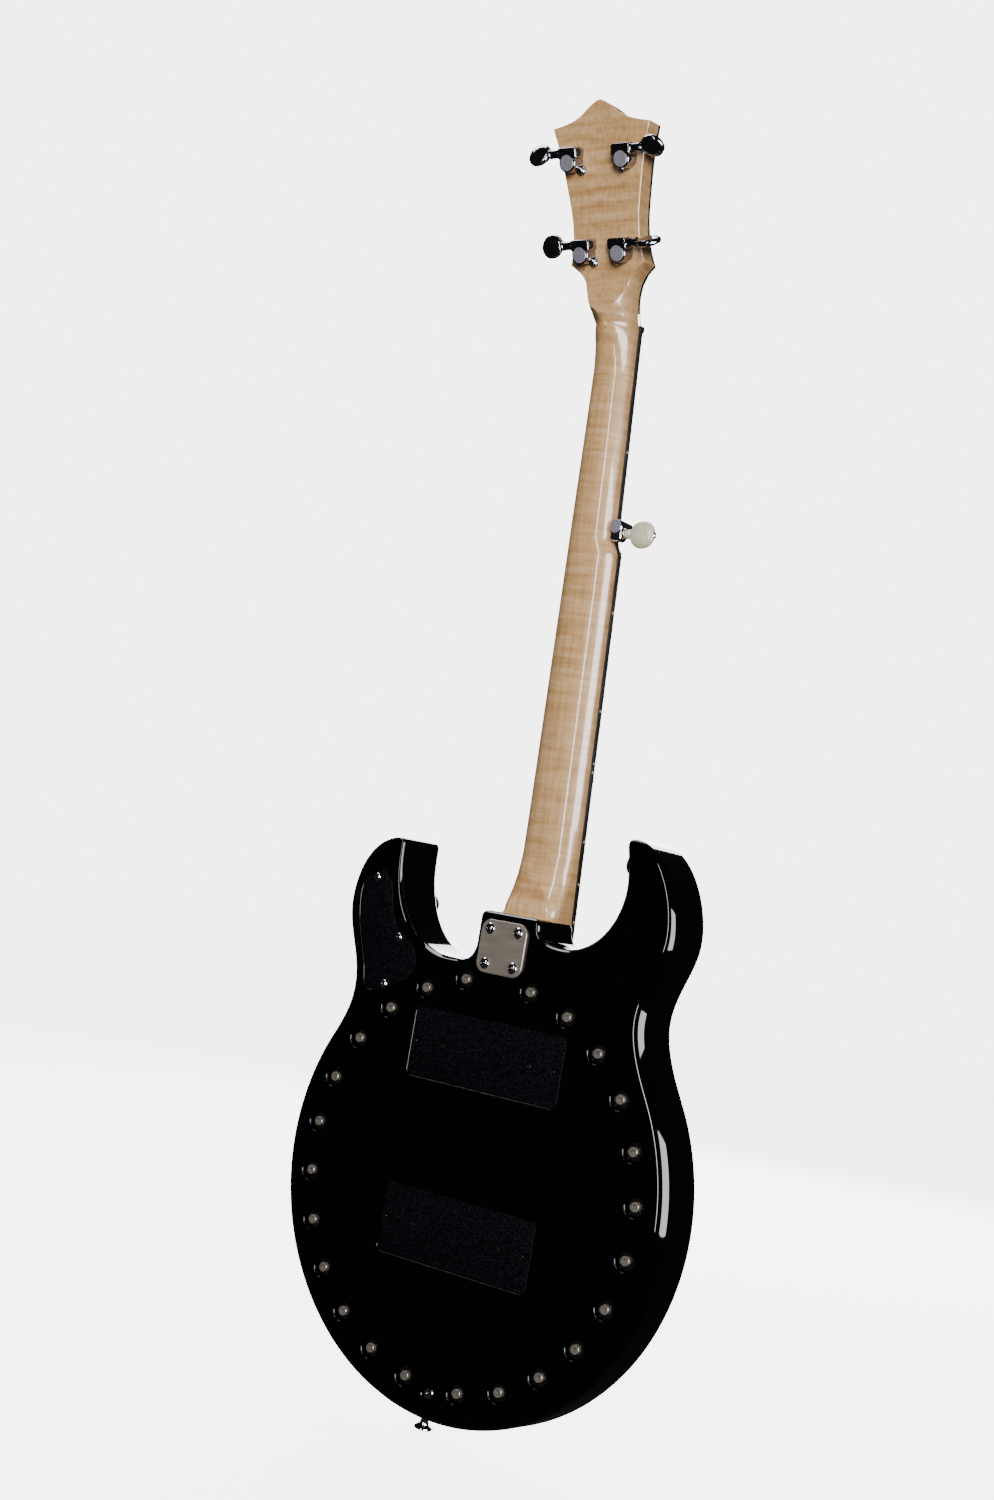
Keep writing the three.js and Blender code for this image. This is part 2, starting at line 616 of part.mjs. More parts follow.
function headOutline(from) {
  const shape = new THREE.Shape();
  const side = (s) => [
    [[s * 33.2, 37.6], [s * 28, 52], [s * 28.8, 70], [s * 31.2, 84]],
    [[s * 31.2, 84], [s * 34, 101], [s * 36.2, 117], [s * 42.7, 136.2]],
    [[s * 42.7, 136.2], [s * 31, 138.2], [s * 22, 139.8], [s * 14, 146]],
    [[s * 14, 146], [s * 8, 150.6], [s * 3, 153.8], [0, 153.9]],
  ];
  const right = side(1);
  const left = side(-1).toReversed().map((c) => c.toReversed());
  shape.moveTo(-33.2, from);
  shape.lineTo(33.2, from);
  shape.lineTo(...right[0][0]);
  for (const [, a, b, end] of [...right, ...left]) {
    shape.bezierCurveTo(...a, ...b, ...end);
  }
  return shape;
}

const headGroup = new THREE.Group();
headGroup.position.set(0, HEAD_Y, HEAD_Z);
headGroup.rotation.x = -HEAD_TILT;
model.add(headGroup);
headGroup.updateMatrixWorld();

const boardGroup = new THREE.Group();
boardGroup.position.set(0, BOARD_Y, BOARD_Z);
boardGroup.rotation.x = -NECK_TILT;
model.add(boardGroup);
boardGroup.updateMatrixWorld();

const alongBoard = (z) => (z - BOARD_Z) / Math.cos(NECK_TILT);
const TRUSS_END = alongBoard(648);

function makeNeck() {
  const placed = (geometry, group) => geometry.applyMatrix4(group.matrixWorld);
  const plate = placed(slanted(slab(headOutline(37.4), -HEAD_T, 0, 5)), headGroup);
  const tools = [placed(box(-3.4, 3.4, 0, 11.9, 6, TRUSS_END), boardGroup)];
  for (const [x, z] of headPosts()) {
    tools.push(placed(rodY(POST_R + 0.9, -30, 30, x, z, 12), headGroup));
  }
  for (const [x, z] of plateScrewPlaces()) {
    tools.push(rodY(2.45, -31.6, 0, x, z, 8));
  }
  add('neck', cut(join(loft(neckRings(), 'x', 'y'), plate), ...tools), 'maple');

  const rod = rodY(2.9, 9, TRUSS_END - 8, 0, 0, 10).rotateX(Math.PI / 2).translate(0, 8.4, 0);
  add('truss_rod', rod, 'steel', boardGroup);
}

function headPosts() {
  return [UPPER_POST, LOWER_POST].flatMap(([x, z]) => [[-x, z], [x, z]]);
}

function makeFingerboard() {
  const edge = [];
  for (const z of [BUMP_TOP_Z, 475, 472, 469, BUMP_LOW_Z]) {
    edge.push([-bassHalf(z), alongBoard(z)]);
  }
  const outline = [
    [-bassHalf(BOARD_END_Z), alongBoard(BOARD_END_Z)],
    [trebleHalf(BOARD_END_Z), alongBoard(BOARD_END_Z)],
    [trebleHalf(NUT_Z), alongBoard(NUT_Z)],
    [-trebleHalf(NUT_Z), alongBoard(NUT_Z)],
    ...edge,
  ];
  const board = slab(new THREE.Shape(outline.map(([x, z]) => vec(x, z))), 0, BOARD_T);
  const frets = [];
  for (let n = 1; n <= FRETS; n += 1) {
    const z = alongBoard(NUT_Z) - fretDistance(n);
    const worldZ = BOARD_Z + z * Math.cos(NECK_TILT);
    const [left, right] = [-bassHalf(worldZ) + 0.3, trebleHalf(worldZ) - 0.3];
    frets.push(rodX(1.15, left, right, 0.1, z, 8));
  }
  add('fingerboard', join(board, ...frets), 'ebony', boardGroup);

  const nutStart = alongBoard(NUT_Z) + 0.1;
  const nut = box(-NUT_HALF - 0.4, NUT_HALF + 0.4, -1, BOARD_T, nutStart, nutStart + 4.6);
  add('nut', nut, 'black', boardGroup);
  const pipZ = alongBoard(BUMP_LOW_Z + 4);
  add('fifth_string_nut', rodY(1.3, -1.2, -GAP, -20.6, pipZ, 10), 'steel', boardGroup);
}

function makeHeadFront() {
  const right = [[17.1, 4], [17.8, 10], [19.2, 18], [22.2, 26], [26.6, 32], [33.2, 37.6]];
  const left = right.toReversed().map(([x, z]) => [-x, z]);
  const upper = headOutline(37.6).getPoints(5).filter((p) => p.y > 38);
  const whole = new THREE.Shape([...[...left, ...right].map(([x, z]) => vec(x, z)), ...upper]);
  const holes = headPosts().map(([x, z]) => rodY(POST_R + 0.9, -30, 0, x, z, 12));
  const slot = box(-4, 4, -30, 0, -2, 15);
  const sheet = slanted(slab(whole, OVERLAY_FRONT, -HEAD_T - GAP));
  add('headstock_overlay', cut(sheet, slot, ...holes), 'overlay', headGroup);

  const bell = new THREE.Shape();
  bell.moveTo(-9, 2.5);
  bell.lineTo(9, 2.5);
  bell.bezierCurveTo(9, 12, 4, 14, 3, 27);
  bell.bezierCurveTo(2, 29.5, -2, 29.5, -3, 27);
  bell.bezierCurveTo(-4, 14, -9, 12, -9, 2.5);
  add('truss_rod_cover', slab(bell, OVERLAY_FRONT - GAP - 1.6, OVERLAY_FRONT - GAP), 'black', headGroup);
}

// tuning machines -------------------------------------------------------------------------------

// the button with its worm shaft, along +x from the worm's inner end, about the origin
function headButton(turn) {
  const shape = new THREE.Shape();
  shape.moveTo(17.6, -3.4);
  shape.bezierCurveTo(19, -9.4, 25, -10.2, 29.2, -8.2);
  shape.bezierCurveTo(36.6, -5.4, 36.6, 5.4, 29.2, 8.2);
  shape.bezierCurveTo(25, 10.2, 19, 9.4, 17.6, 3.4);
  shape.lineTo(17.6, -3.4);
  const paddle = slab(shape, -3.4, 3.4, 5);
  const shaft = join(rodX(1.95, -8.6, 16.2, 0, 0, 10), rodX(3.4, 15.9, 19, 0, 0, 12));
  return join(paddle, shaft).rotateX(turn);
}

function headHousing() {
  const outer = [
    rodY(CAP_R, GAP, CAP_TOP, 0, 0, 14),
    box(-8, 8, GAP, WORM_Y + 4, 2.5, WORM_UP + 4),
    rodX(3.9, 7.9, 15.6, WORM_Y, WORM_UP, 10),
    slab(roundedRect(0, -1.9, 7.4, 20, 3.6), GAP, 2.4, 3).rotateY(Math.PI / 4),
  ];
  const inner = [
    rodY(5.9, -1, CAP_TOP - 1.2, 0, 0, 14),
    rodX(2.5, -20, 20, WORM_Y, WORM_UP, 12),
  ];
  const screwHead = rodY(2.6, 2.3, 4, 0, -8.9, 12, 1.8).rotateY(Math.PI / 4);
  return cut(join(...outer, screwHead), ...inner);
}

function headPost() {
  const gear = rodY(4.5, WORM_Y - 1.5, WORM_Y + 1.5, 0, 0, 12);
  const shaft = rodY(POST_R, OVERLAY_FRONT - 13, WORM_Y, 0, 0, 12);
  return join(gear, shaft);
}

function makeHeadTuners() {
  const turns = { 1: 0.15, 2: 0.6, 3: -0.6, 4: 1.35 };
  const places = { 1: LOWER_POST, 2: UPPER_POST, 3: UPPER_POST, 4: LOWER_POST };
  for (const number of [1, 2, 3, 4]) {
    const side = number < 3 ? 1 : -1;
    const machine = new THREE.Group();
    machine.position.set(side * places[number][0], 0, places[number][1]);
    headGroup.add(machine);
    const mirror = (geometry) => (side > 0 ? geometry : mirrored(geometry));
    add(`tuner_housing_${number}`, mirror(headHousing()), 'chrome', machine);
    const button = headButton(turns[number]).translate(0, WORM_Y, WORM_UP);
    add(`tuner_button_${number}`, mirror(button), 'chrome', machine);
    add(`tuner_post_${number}`, headPost(), 'chrome', machine);
  }
}

// the same piece for the other side of the neck
function mirrored(geometry) {
  const flipped = geometry.scale(-1, 1, 1);
  const index = flipped.index.array;
  for (let i = 0; i < index.length; i += 3) {
    [index[i], index[i + 1]] = [index[i + 1], index[i]];
  }
  return flipped;
}

function makeFifthTuner() {
  const { x, z } = FIFTH_POST;
  const { y: wormY, z: wormZ } = FIFTH_WORM;
  const shell = join(
    rodY(5.4, -32, FIFTH_CAP, x, z, 18),
    rodX(4.4, x - 7, x + 4.4, wormY, wormZ, 14),
    box(x - 5.4, x + 4.4, wormY - 4.4, FIFTH_CAP, wormZ - 1, z),
  );
  const hollow = [
    rodY(4.3, -40, FIFTH_CAP - 1.2, x, z, 14),
    rodX(1.9, x - 20, x + 3.4, wormY, wormZ, 10),
  ];
  add('tuner_housing_5', cut(shell, ...hollow), 'chrome');

  const knob = new THREE.SphereGeometry(1, 14, 8).scale(9.6, 4.4, 10.4).translate(x - 22, wormY, wormZ);
  const button = join(
    rodX(1.4, x - 20, x + 2.6, wormY, wormZ, 8),
    rodX(3.2, x - 14, x - 8, wormY, wormZ, 12),
    knob,
    rodX(2.2, x - 33.4, x - 30.6, wormY, wormZ, 10),
  );
  add('tuner_button_5', button, 'pearl');
  const post = join(rodY(2.6, -44, wormY, x, z, 12), rodY(2.9, wormY - 1.4, wormY + 1.4, x, z, 14));
  add('tuner_post_5', post, 'chrome');
}

// strings ---------------------------------------------------------------------------------------

function wire(points, radius) {
  const sides = 6;
  const rings = points.map((p, i) => {
    const before = points[Math.max(i - 1, 0)];
    const after = points[Math.min(i + 1, points.length - 1)];
    const along = after.clone().sub(before).normalize();
    const across = point(1, 0, 0).projectOnPlane(along).normalize();
    const up = along.clone().cross(across);
    return Array.from({ length: sides }, (_, k) => {
      const t = (k / sides) * 2 * Math.PI;
      const spoke = across.clone().multiplyScalar(radius * Math.cos(t));
      return spoke.addScaledVector(up, radius * Math.sin(t)).add(p);
    });
  });
  return loft(rings, 'x', 'y');
}

function makeStrings() {
  const posts = [LOWER_POST, UPPER_POST, UPPER_POST, LOWER_POST];
  for (let i = 0; i < 5; i += 1) {
    const r = STRING_R[i];
    const lift = r + GAP;
    const { bridge, nut } = stringX(i);
    const tail = point(bridge, -59.4, -106 + GAP);
    const crown = point(bridge, BRIDGE_TOP - lift, BRIDGE_Z);
    const ends = [];
    if (i < 4) {
      const side = i < 2 ? 1 : -1;
      const [px, pz] = posts[i];
      ends.push(point(nut, boardY(NUT_Z) - 1.1 - lift, NUT_Z + 4.9));
      ends.push(headPoint(side * (px - POST_R - r - 0.1), OVERLAY_FRONT - 6 - 2 * (i % 3 !== 0), pz));
    } else {
      const pipZ = BUMP_LOW_Z + 4;
      ends.push(point(-20.6, boardY(pipZ) - 1.3 - lift, pipZ));
      ends.push(point(FIFTH_POST.x + 2.6 + r + 0.1, boardY(FIFTH_POST.z) - 3, FIFTH_POST.z));
    }
    add(`string_${i + 1}`, wire([tail, crown, ...ends], r), 'steel');
  }
}

// controls --------------------------------------------------------------------------------------

function makeControls() {
  for (const [name, [x, z]] of [['volume', VOLUME], ['tone', TONE]]) {
    const pot = join(
      rodY(8.2, CAVITY_FLOOR + GAP, -27, x, z, 18),
      rodY(3.7, -48, CAVITY_FLOOR + 1, x, z, 12),
      rodY(5.6, -46.8, FRONT - GAP, x, z, 6),
    );
    add(`${name}_pot`, cut(pot, rodY(3.3, -60, -33, x, z, 12)), 'steel');
    const knob = join(rodY(8.3, -60.6, -48.4, x, z, 24, 9.2), rodY(2.8, -49, -34, x, z, 10));
    add(`${name}_knob`, knob, 'black');
  }
  const [x, z] = SELECTOR;
  const pivot = -46;
  const casing = join(
    box(x - 5.7, x + 5.7, CAVITY_FLOOR + GAP, -22, z - 5.7, z + 5.7),
    rodY(5.7, -49.5, CAVITY_FLOOR + 1, x, z, 14),
    rodY(8, -47, FRONT - GAP, x, z, 6),
  );
  add('selector_switch', cut(casing, rodY(4.2, -60, -34, x, z, 14)), 'steel');
  const lever = join(
    rodY(1.6, -66, pivot + 8, x, z, 10),
    new THREE.SphereGeometry(3.6, 10, 8).translate(x, -67, z),
  );
  add('selector_lever', lever, 'chrome');

  const jack = join(
    rodX(12.5, RIM_R + 0.2, RIM_R + 2.2, MID_Y, JACK_Z, 24),
    rodX(9.4, 143, RIM_R + 1, MID_Y, JACK_Z, 18),
  );
  add('output_jack', cut(jack, rodX(3.4, 148, 180, MID_Y, JACK_Z, 14)), 'chrome');
}

makeBody();
makeBackHardware();
makeStrapButtons();
makeDrum();
makeTailpiece();
makeBridge();
makePickups();
makeNeck();
makeFingerboard();
makeHeadFront();
makeHeadTuners();
makeFifthTuner();
makeStrings();
makeControls();

export default model;
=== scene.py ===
"""Looks of a solid-body electric five-string banjo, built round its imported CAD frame.

Shapes are written in millimetres in the CAD's frame and turned into metres as each mesh is made:
+Z up the neck, -Y the playing side, +Y the back, +X the treble side, origin on the back of the body.
"""
import math

import bmesh
import bpy
from mathutils import Matrix, Vector


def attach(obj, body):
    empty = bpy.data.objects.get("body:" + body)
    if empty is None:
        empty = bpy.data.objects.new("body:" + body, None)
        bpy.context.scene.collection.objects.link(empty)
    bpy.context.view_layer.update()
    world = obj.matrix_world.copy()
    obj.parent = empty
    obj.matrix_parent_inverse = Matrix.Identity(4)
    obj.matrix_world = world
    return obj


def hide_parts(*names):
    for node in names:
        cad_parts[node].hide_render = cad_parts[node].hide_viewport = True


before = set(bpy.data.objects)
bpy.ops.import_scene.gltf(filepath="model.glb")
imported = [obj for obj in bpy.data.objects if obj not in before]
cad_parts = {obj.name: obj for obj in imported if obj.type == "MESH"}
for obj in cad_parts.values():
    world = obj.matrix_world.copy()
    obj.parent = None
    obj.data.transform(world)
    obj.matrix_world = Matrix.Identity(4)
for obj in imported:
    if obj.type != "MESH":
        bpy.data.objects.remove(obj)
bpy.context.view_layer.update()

MM = 0.001
DEG = math.pi / 180
ROOT = "instrument"

# body
BODY_R = 170
RIM_R = 171.4
BODY_T = 44.5
EDGE = 10.5
HORN_EDGE = 3.2
HEEL_EDGE = 3.6
SHOULDER = 28.8 * DEG
RECESS = 2.3
COVER_TOP = -0.2
COVER_W, COVER_H, COVER_R = 137, 51, 4.5
COVER_Z = (92, -38)
COVER_SCREW_X = 63.3
PICKUP_SCREW_X = 39.5
CONTROL_SCREWS = ((128.2, 205.4), (97.8, 163.8), (104.4, 127.5))
POCKET = (25.7, 151.5, -18.3)
PLATE_Z, PLATE_SCREW = 170.2, 12.7
TAIL_Z = -150.8
JACK_Z = -2.8
MID_Y = -BODY_T / 2

# tension bolts
BOLT_CIRCLE = 146.3
BORE_R, BORE_LIP = 7.6, 0.9
BOLT_ANGLES = [side * (11.66 + 14.4425 * k) * DEG for k in range(12) for side in (1, -1)]

# neck and headstock
NECK_TILT = 3.68 * DEG
BOARD_Z, BOARD_Y, BOARD_T = 153, -53.15, 4.5
BOARD_END = 151.5
NUT_Z = 633.75
STRING_SPACING = 7.8
SCALE = 666.75
BUMP = (466, 478)
FRETS = 22
DOT_FRETS, DOUBLE_DOT, PEG_FRET = (3, 5, 7, 10, 12, 15, 17, 19), 12, 5
HEEL_HALF = 25.2
HEAD_TILT = 21.53 * DEG
HEAD_Y, HEAD_Z, HEAD_T = 0.2, 640, 12.5
HEAD_SLANT = math.tan(HEAD_TILT - NECK_TILT)
OVERLAY_T = 1.6
GAP = 0.3

# tuners, as post axes in the headstock's frame: number, x, z, turn of the button
HEAD_TUNERS = (
    (1, 16.6, 45.2, 0.15),
    (2, 23.7, 110.9, 0.6),
    (3, -23.7, 110.9, -0.6),
    (4, -16.6, 45.2, 1.35),
)
WORM_UP, WORM_Y = 7, 7.6
FIFTH_X, FIFTH_Z, FIFTH_WORM_Y, FIFTH_WORM_Z = -25, 487.1, -21, 482.3

# controls on the treble horn
VOLUME, TONE = (120.5, 191), (108.8, 152.6)

# the photograph's viewpoint, in metres: the camera's place and its own axes
CAMERA_PLACE = (-0.93972, 1.26057, 0.21706)
CAMERA_RIGHT = (-0.78575, -0.59532, 0.16788)
CAMERA_UP = (0.09611, 0.15061, 0.98391)
CAMERA_BACK = (-0.61103, 0.78924, -0.06113)
CAMERA_LENS, CAMERA_SENSOR, CAMERA_SHIFT = 52.04, 36, -0.0021

# studio, in metres: name, place, target, size, power, colour
LIGHTS = (
    ("softbox", (-1.32, 0.44, 0.28), (-0.1, 0, 0.28), (1.15, 0.9), 62, (0.9, 0.9, 1)),
    ("strip", (-0.55, 2.4, 0.75), (0, 0, 0.3), (0.16, 2.2), 30, (1, 1, 1)),
    ("key", (-1.4, 1.8, 0.75), (0, 0, 0.35), (0.7, 0.9), 66, (1, 0.98, 0.95)),
    ("top", (0.9, -0.2, 2.1), (0, 0, 0.25), (1.4, 1.2), 50, (0.95, 0.95, 1)),
    ("front", (0.9, -2.1, 0.9), (0, 0, 0.3), (1.2, 1.2), 58, (1, 1, 1)),
)
BACKDROP_STRENGTH = 5
AMBIENT_STRENGTH = 0.02
FLOOR_GLOW = 4.6
FLOOR_SIZE, FLOOR_Z = 12, -0.2


def fret_distance(n):
    return SCALE * (1 - 2 ** (-n / 12))


def board_y(z):
    return BOARD_Y + (z - BOARD_Z) * math.tan(NECK_TILT)


def treble_half(z):
    return 15.9 + (NUT_Z - z) * 0.0194


def bass_half(z):
    low = 23.1 + (BUMP[0] - z) * 0.0045
    t = min(max((z - BUMP[0]) / (BUMP[1] - BUMP[0]), 0), 1)
    return low + (treble_half(z) - low) * t * t * (3 - 2 * t)


def head_point(x, y, z):
    c, s = math.cos(HEAD_TILT), math.sin(HEAD_TILT)
    return Vector((x, HEAD_Y + y * c + z * s, HEAD_Z - y * s + z * c))


HEAD = Matrix.Translation((0, HEAD_Y, HEAD_Z)) @ Matrix.Rotation(-HEAD_TILT, 4, "X")
SLANT = Matrix(((1, 0, 0, 0), (0, 1, 0, 0), (0, HEAD_SLANT, 1, 0), (0, 0, 0, 1)))
BOARD = Matrix.Translation((0, BOARD_Y, BOARD_Z)) @ Matrix.Rotation(-NECK_TILT, 4, "X")


def along_board(z):
    return (z - BOARD_Z) / math.cos(NECK_TILT)


# ---------------------------------------------------------------------------------------------
# camera, lights and floor


def make_camera():
    camera = bpy.data.objects.new("camera", bpy.data.cameras.new("camera"))
    bpy.context.scene.collection.objects.link(camera)
    axes = Matrix((CAMERA_RIGHT, CAMERA_UP, CAMERA_BACK)).transposed()
    camera.matrix_world = Matrix.Translation(CAMERA_PLACE) @ axes.to_4x4()
    camera.data.lens = CAMERA_LENS
    camera.data.sensor_width = CAMERA_SENSOR
    camera.data.shift_y = CAMERA_SHIFT
    bpy.context.scene.camera = camera


def area_light(name, place, target, size, power, colour):
    data = bpy.data.lights.new(name, "AREA")
    data.shape = "RECTANGLE"
    data.size, data.size_y = size
    data.energy = power
    data.color = colour
    light = bpy.data.objects.new(name, data)
    light.location = place
    light.visible_camera = False
    light.rotation_mode = "QUATERNION"
    light.rotation_quaternion = (Vector(target) - Vector(place)).to_track_quat("-Z", "Y")
    bpy.context.scene.collection.objects.link(light)
    return light


def make_world():
    """A pale backdrop for the camera, which gives the object itself only a faint ambient light."""
    world = bpy.data.worlds.new("studio")
    bpy.context.scene.world = world
    world.use_nodes = True
    nodes, links = world.node_tree.nodes, world.node_tree.links
    nodes.clear()
    shown = nodes.new("ShaderNodeBackground")
    shown.inputs["Color"].default_value = (1, 1, 1, 1)
    shown.inputs["Strength"].default_value = BACKDROP_STRENGTH
    lit = nodes.new("ShaderNodeBackground")
    lit.inputs["Color"].default_value = (0.95, 0.97, 1, 1)
    lit.inputs["Strength"].default_value = AMBIENT_STRENGTH
    path = nodes.new("ShaderNodeLightPath")
    mix = nodes.new("ShaderNodeMixShader")
    out = nodes.new("ShaderNodeOutputWorld")
    links.new(path.outputs["Is Camera Ray"], mix.inputs[0])
    links.new(lit.outputs[0], mix.inputs[1])
    links.new(shown.outputs[0], mix.inputs[2])
    links.new(mix.outputs[0], out.inputs["Surface"])


def make_stage():
    make_world()
    lights = {row[0]: area_light(*row) for row in LIGHTS}
    lights["softbox"].visible_diffuse = False
    lights["strip"].visible_diffuse = False
    lights["key"].visible_glossy = False

    bpy.ops.mesh.primitive_grid_add(x_subdivisions=2, y_subdivisions=2, size=FLOOR_SIZE)
    floor = bpy.context.object
    floor.name = "floor"
    floor.location = (0, 0, FLOOR_Z)
    floor.visible_glossy = False
    floor.visible_diffuse = False
    look = Look("floor_paint", (0.93, 0.93, 0.93), Roughness=0.9, Emission_Strength=FLOOR_GLOW)
    look.shader.inputs["Emission Color"].default_value = (1, 1, 1, 1)
    look.bump(look.noise(40, detail=2), 0.02, 0.002)
    floor.data.materials.append(look.material)


# ---------------------------------------------------------------------------------------------
# materials


class Look:
    """A material on the Principled shader, with helpers for procedural detail at its real size."""

    def __init__(self, name, colour=(0.8, 0.8, 0.8), **inputs):
        self.material = bpy.data.materials.new(name)
        self.material.use_nodes = True
        self.nodes = self.material.node_tree.nodes
        self.links = self.material.node_tree.links
        self.shader = self.nodes["Principled BSDF"]
        self.shader.inputs["Base Color"].default_value = (*colour, 1)
        for name_of, value in inputs.items():
            self.shader.inputs[name_of.replace("_", " ")].default_value = value
        self.coords = self.nodes.new("ShaderNodeTexCoord").outputs["Object"]
        self.last_bump = None

    def node(self, kind, **inputs):
        made = self.nodes.new("ShaderNode" + kind)
        for key, value in inputs.items():
            socket = made.inputs[key.replace("_", " ")]
            if isinstance(value, bpy.types.NodeSocket):
                self.links.new(value, socket)
            else:
                socket.default_value = value
        return made

    def scaled(self, x, y, z):
        mapping = self.node("Mapping", Vector=self.coords)
        mapping.inputs["Scale"].default_value = (x, y, z)
        return mapping.outputs[0]

    def noise(self, scale, detail=3, vector=None, distortion=0.0):
        made = self.node("TexNoise", Scale=scale, Detail=detail, Distortion=distortion)
        self.links.new(vector or self.coords, made.inputs["Vector"])
        return made.outputs["Fac"]

    def ramp(self, value, *stops):
        made = self.node("ValToRGB", Fac=value)
        elements = made.color_ramp.elements
        while len(elements) < len(stops):
            elements.new(0.5)
        for element, (place, colour) in zip(elements, stops):
            element.position = place
            element.color = colour if len(colour) == 4 else (*colour, 1)
        return made.outputs["Color"]

    def spread(self, value, low, high, to_low, to_high):
        made = self.node("MapRange", Value=value)
        limits = {"From Min": low, "From Max": high, "To Min": to_low, "To Max": to_high}
        for key, number in limits.items():
            made.inputs[key].default_value = number
        return made.outputs[0]

    def mix(self, factor, a, b, blend="MIX"):
        made = self.nodes.new("ShaderNodeMix")
        made.data_type = "RGBA"
        made.blend_type = blend
        for index, value in ((0, factor), (6, a), (7, b)):
            if isinstance(value, bpy.types.NodeSocket):
                self.links.new(value, made.inputs[index])
            else:
                made.inputs[index].default_value = value if index == 0 else (*value, 1)
        return made.outputs[2]

    def darken(self, share, base, value, low, shade, high):
        """Multiplies a colour by a shade where a value is low."""
        tint = self.ramp(value, (low, shade), (high, (1, 1, 1)))
        return self.mix(share, base, tint, "MULTIPLY")

    def to(self, name, value):
        self.links.new(value, self.shader.inputs[name])

    def bump(self, height, strength, distance):
        made = self.node("Bump", Height=height, Strength=strength, Distance=distance)
        if self.last_bump is not None:
            self.links.new(self.last_bump, made.inputs["Normal"])
        self.last_bump = made.outputs[0]
        self.links.new(self.last_bump, self.shader.inputs["Normal"])


def lacquer():
    look = Look("black_lacquer", (0.0005, 0.0005, 0.0006), Roughness=0.035, IOR=1.5)
    haze = look.noise(9, detail=4)
    look.to("Roughness", look.spread(haze, 0.3, 0.7, 0.03, 0.055))
    look.bump(look.noise(170, detail=1), 0.035, 0.0004)
    return look.material


def maple():
    """Flamed maple under gloss: wavy bands across the grain, finer bands, streaks, fibres and pores."""
    look = Look("flamed_maple", Roughness=0.34, Coat_Weight=1.0, Coat_Roughness=0.035, Coat_IOR=1.5)
    warp = look.noise(14, detail=2)
    lean = look.node("VectorMath")
    lean.operation = "MULTIPLY_ADD"
    look.links.new(look.node("CombineXYZ", Z=warp).outputs[0], lean.inputs[0])
    lean.inputs[1].default_value = (0, 0, 0.009)
    look.links.new(look.coords, lean.inputs[2])
    stretch = look.node("Mapping", Vector=lean.outputs[0])
    stretch.inputs["Scale"].default_value = (20, 20, 190)
    flame = look.noise(1.0, detail=3, vector=stretch.outputs[0], distortion=0.15)
    narrow = look.noise(1.0, detail=2, vector=look.scaled(55, 55, 420))
    patch = look.noise(7, detail=3)
    pale, mid, deep = (0.9, 0.6, 0.32), (0.82, 0.51, 0.24), (0.63, 0.355, 0.145)
    base = look.ramp(flame, (0.34, deep), (0.5, mid), (0.64, pale))
    base = look.mix(look.spread(patch, 0.35, 0.65, 0.0, 0.5), base, (0.87, 0.56, 0.28))
    base = look.darken(0.5, base, narrow, 0.35, (0.8, 0.72, 0.62), 0.6)
    fibre = look.noise(1.0, detail=3, vector=look.scaled(1300, 1300, 26))
    streak = look.noise(1.0, detail=3, vector=look.scaled(420, 420, 8))
    base = look.darken(0.55, base, fibre, 0.3, (0.87, 0.83, 0.78), 0.55)
    base = look.darken(0.5, base, streak, 0.36, (0.72, 0.62, 0.5), 0.56)
    pore = look.noise(1.0, detail=1, vector=look.scaled(2400, 2400, 300))
    base = look.darken(0.35, base, pore, 0.27, (0.55, 0.42, 0.3), 0.34)
    look.to("Base Color", base)
    look.bump(fibre, 0.04, 0.0002)
    wave = look.node("Bump", Height=look.noise(60, detail=1), Strength=0.02, Distance=0.0006)
    look.links.new(wave.outputs[0], look.shader.inputs["Coat Normal"])
    return look.material


def grained(name, dark, light, roughness, stretch=(700, 700, 18)):
    look = Look(name, dark, Roughness=roughness)
    grain = look.noise(1.0, detail=4, vector=look.scaled(*stretch))
    look.to("Base Color", look.ramp(grain, (0.35, dark), (0.68, light)))
    look.to("Roughness", look.spread(grain, 0.3, 0.7, roughness - 0.08, roughness + 0.1))
    look.bump(grain, 0.12, 0.0002)
    return look.material


def pebble():
    look = Look("pebbled_cover", (0.011, 0.011, 0.014), Roughness=0.5, Specular_IOR_Level=0.1)
    cells = look.node("TexVoronoi", Scale=1500.0, Randomness=1.0)
    look.links.new(look.coords, cells.inputs["Vector"])
    grain_and_glint_noise = look.noise(900, detail=3)
    # the lighter specks in the base colour are painted glints of light on the pebble grain; the same
    # noise also sets the roughness and the bumps
    painted_glint_specks = look.ramp(grain_and_glint_noise, (0.5, (0.0004, 0.0004, 0.0009)), (0.72, (0.018, 0.018, 0.028)))
    look.to("Base Color", painted_glint_specks)
    look.to("Roughness", look.spread(grain_and_glint_noise, 0.3, 0.7, 0.34, 0.62))
    look.bump(cells.outputs["Distance"], 0.55, 0.00025)
    look.bump(grain_and_glint_noise, 0.5, 0.00025)
    return look.material


def metal(name, colour, roughness, wear=0.05, scale=(90, 90, 90), bump=0.02, share=1.0):
    look = Look(name, colour, Metallic=share, Roughness=roughness)
    cloud = look.noise(1.0, detail=4, vector=look.scaled(*scale))
    shade = tuple(c * 0.82 for c in colour)
    look.to("Base Color", look.ramp(cloud, (0.35, shade), (0.6, colour)))
    look.to("Roughness", look.spread(cloud, 0.3, 0.7, max(roughness - wear, 0.03), roughness + wear))
    look.bump(cloud, bump, 0.0002)
    return look.material


def plastic(name, colour, roughness, fleck=0.25, scale=350, bump=0.06, **inputs):
    look = Look(name, colour, Roughness=roughness, **inputs)
    speck = look.noise(scale, detail=3)
    low = tuple(c * (1 - fleck) for c in colour)
    high = tuple(min(c * (1 + fleck), 1) for c in colour)
    look.to("Base Color", look.ramp(speck, (0.35, low), (0.65, high)))
    look.to("Roughness", look.spread(speck, 0.3, 0.7, roughness * 0.85, roughness * 1.2))
    look.bump(speck, bump, 0.0002)
    return look.material


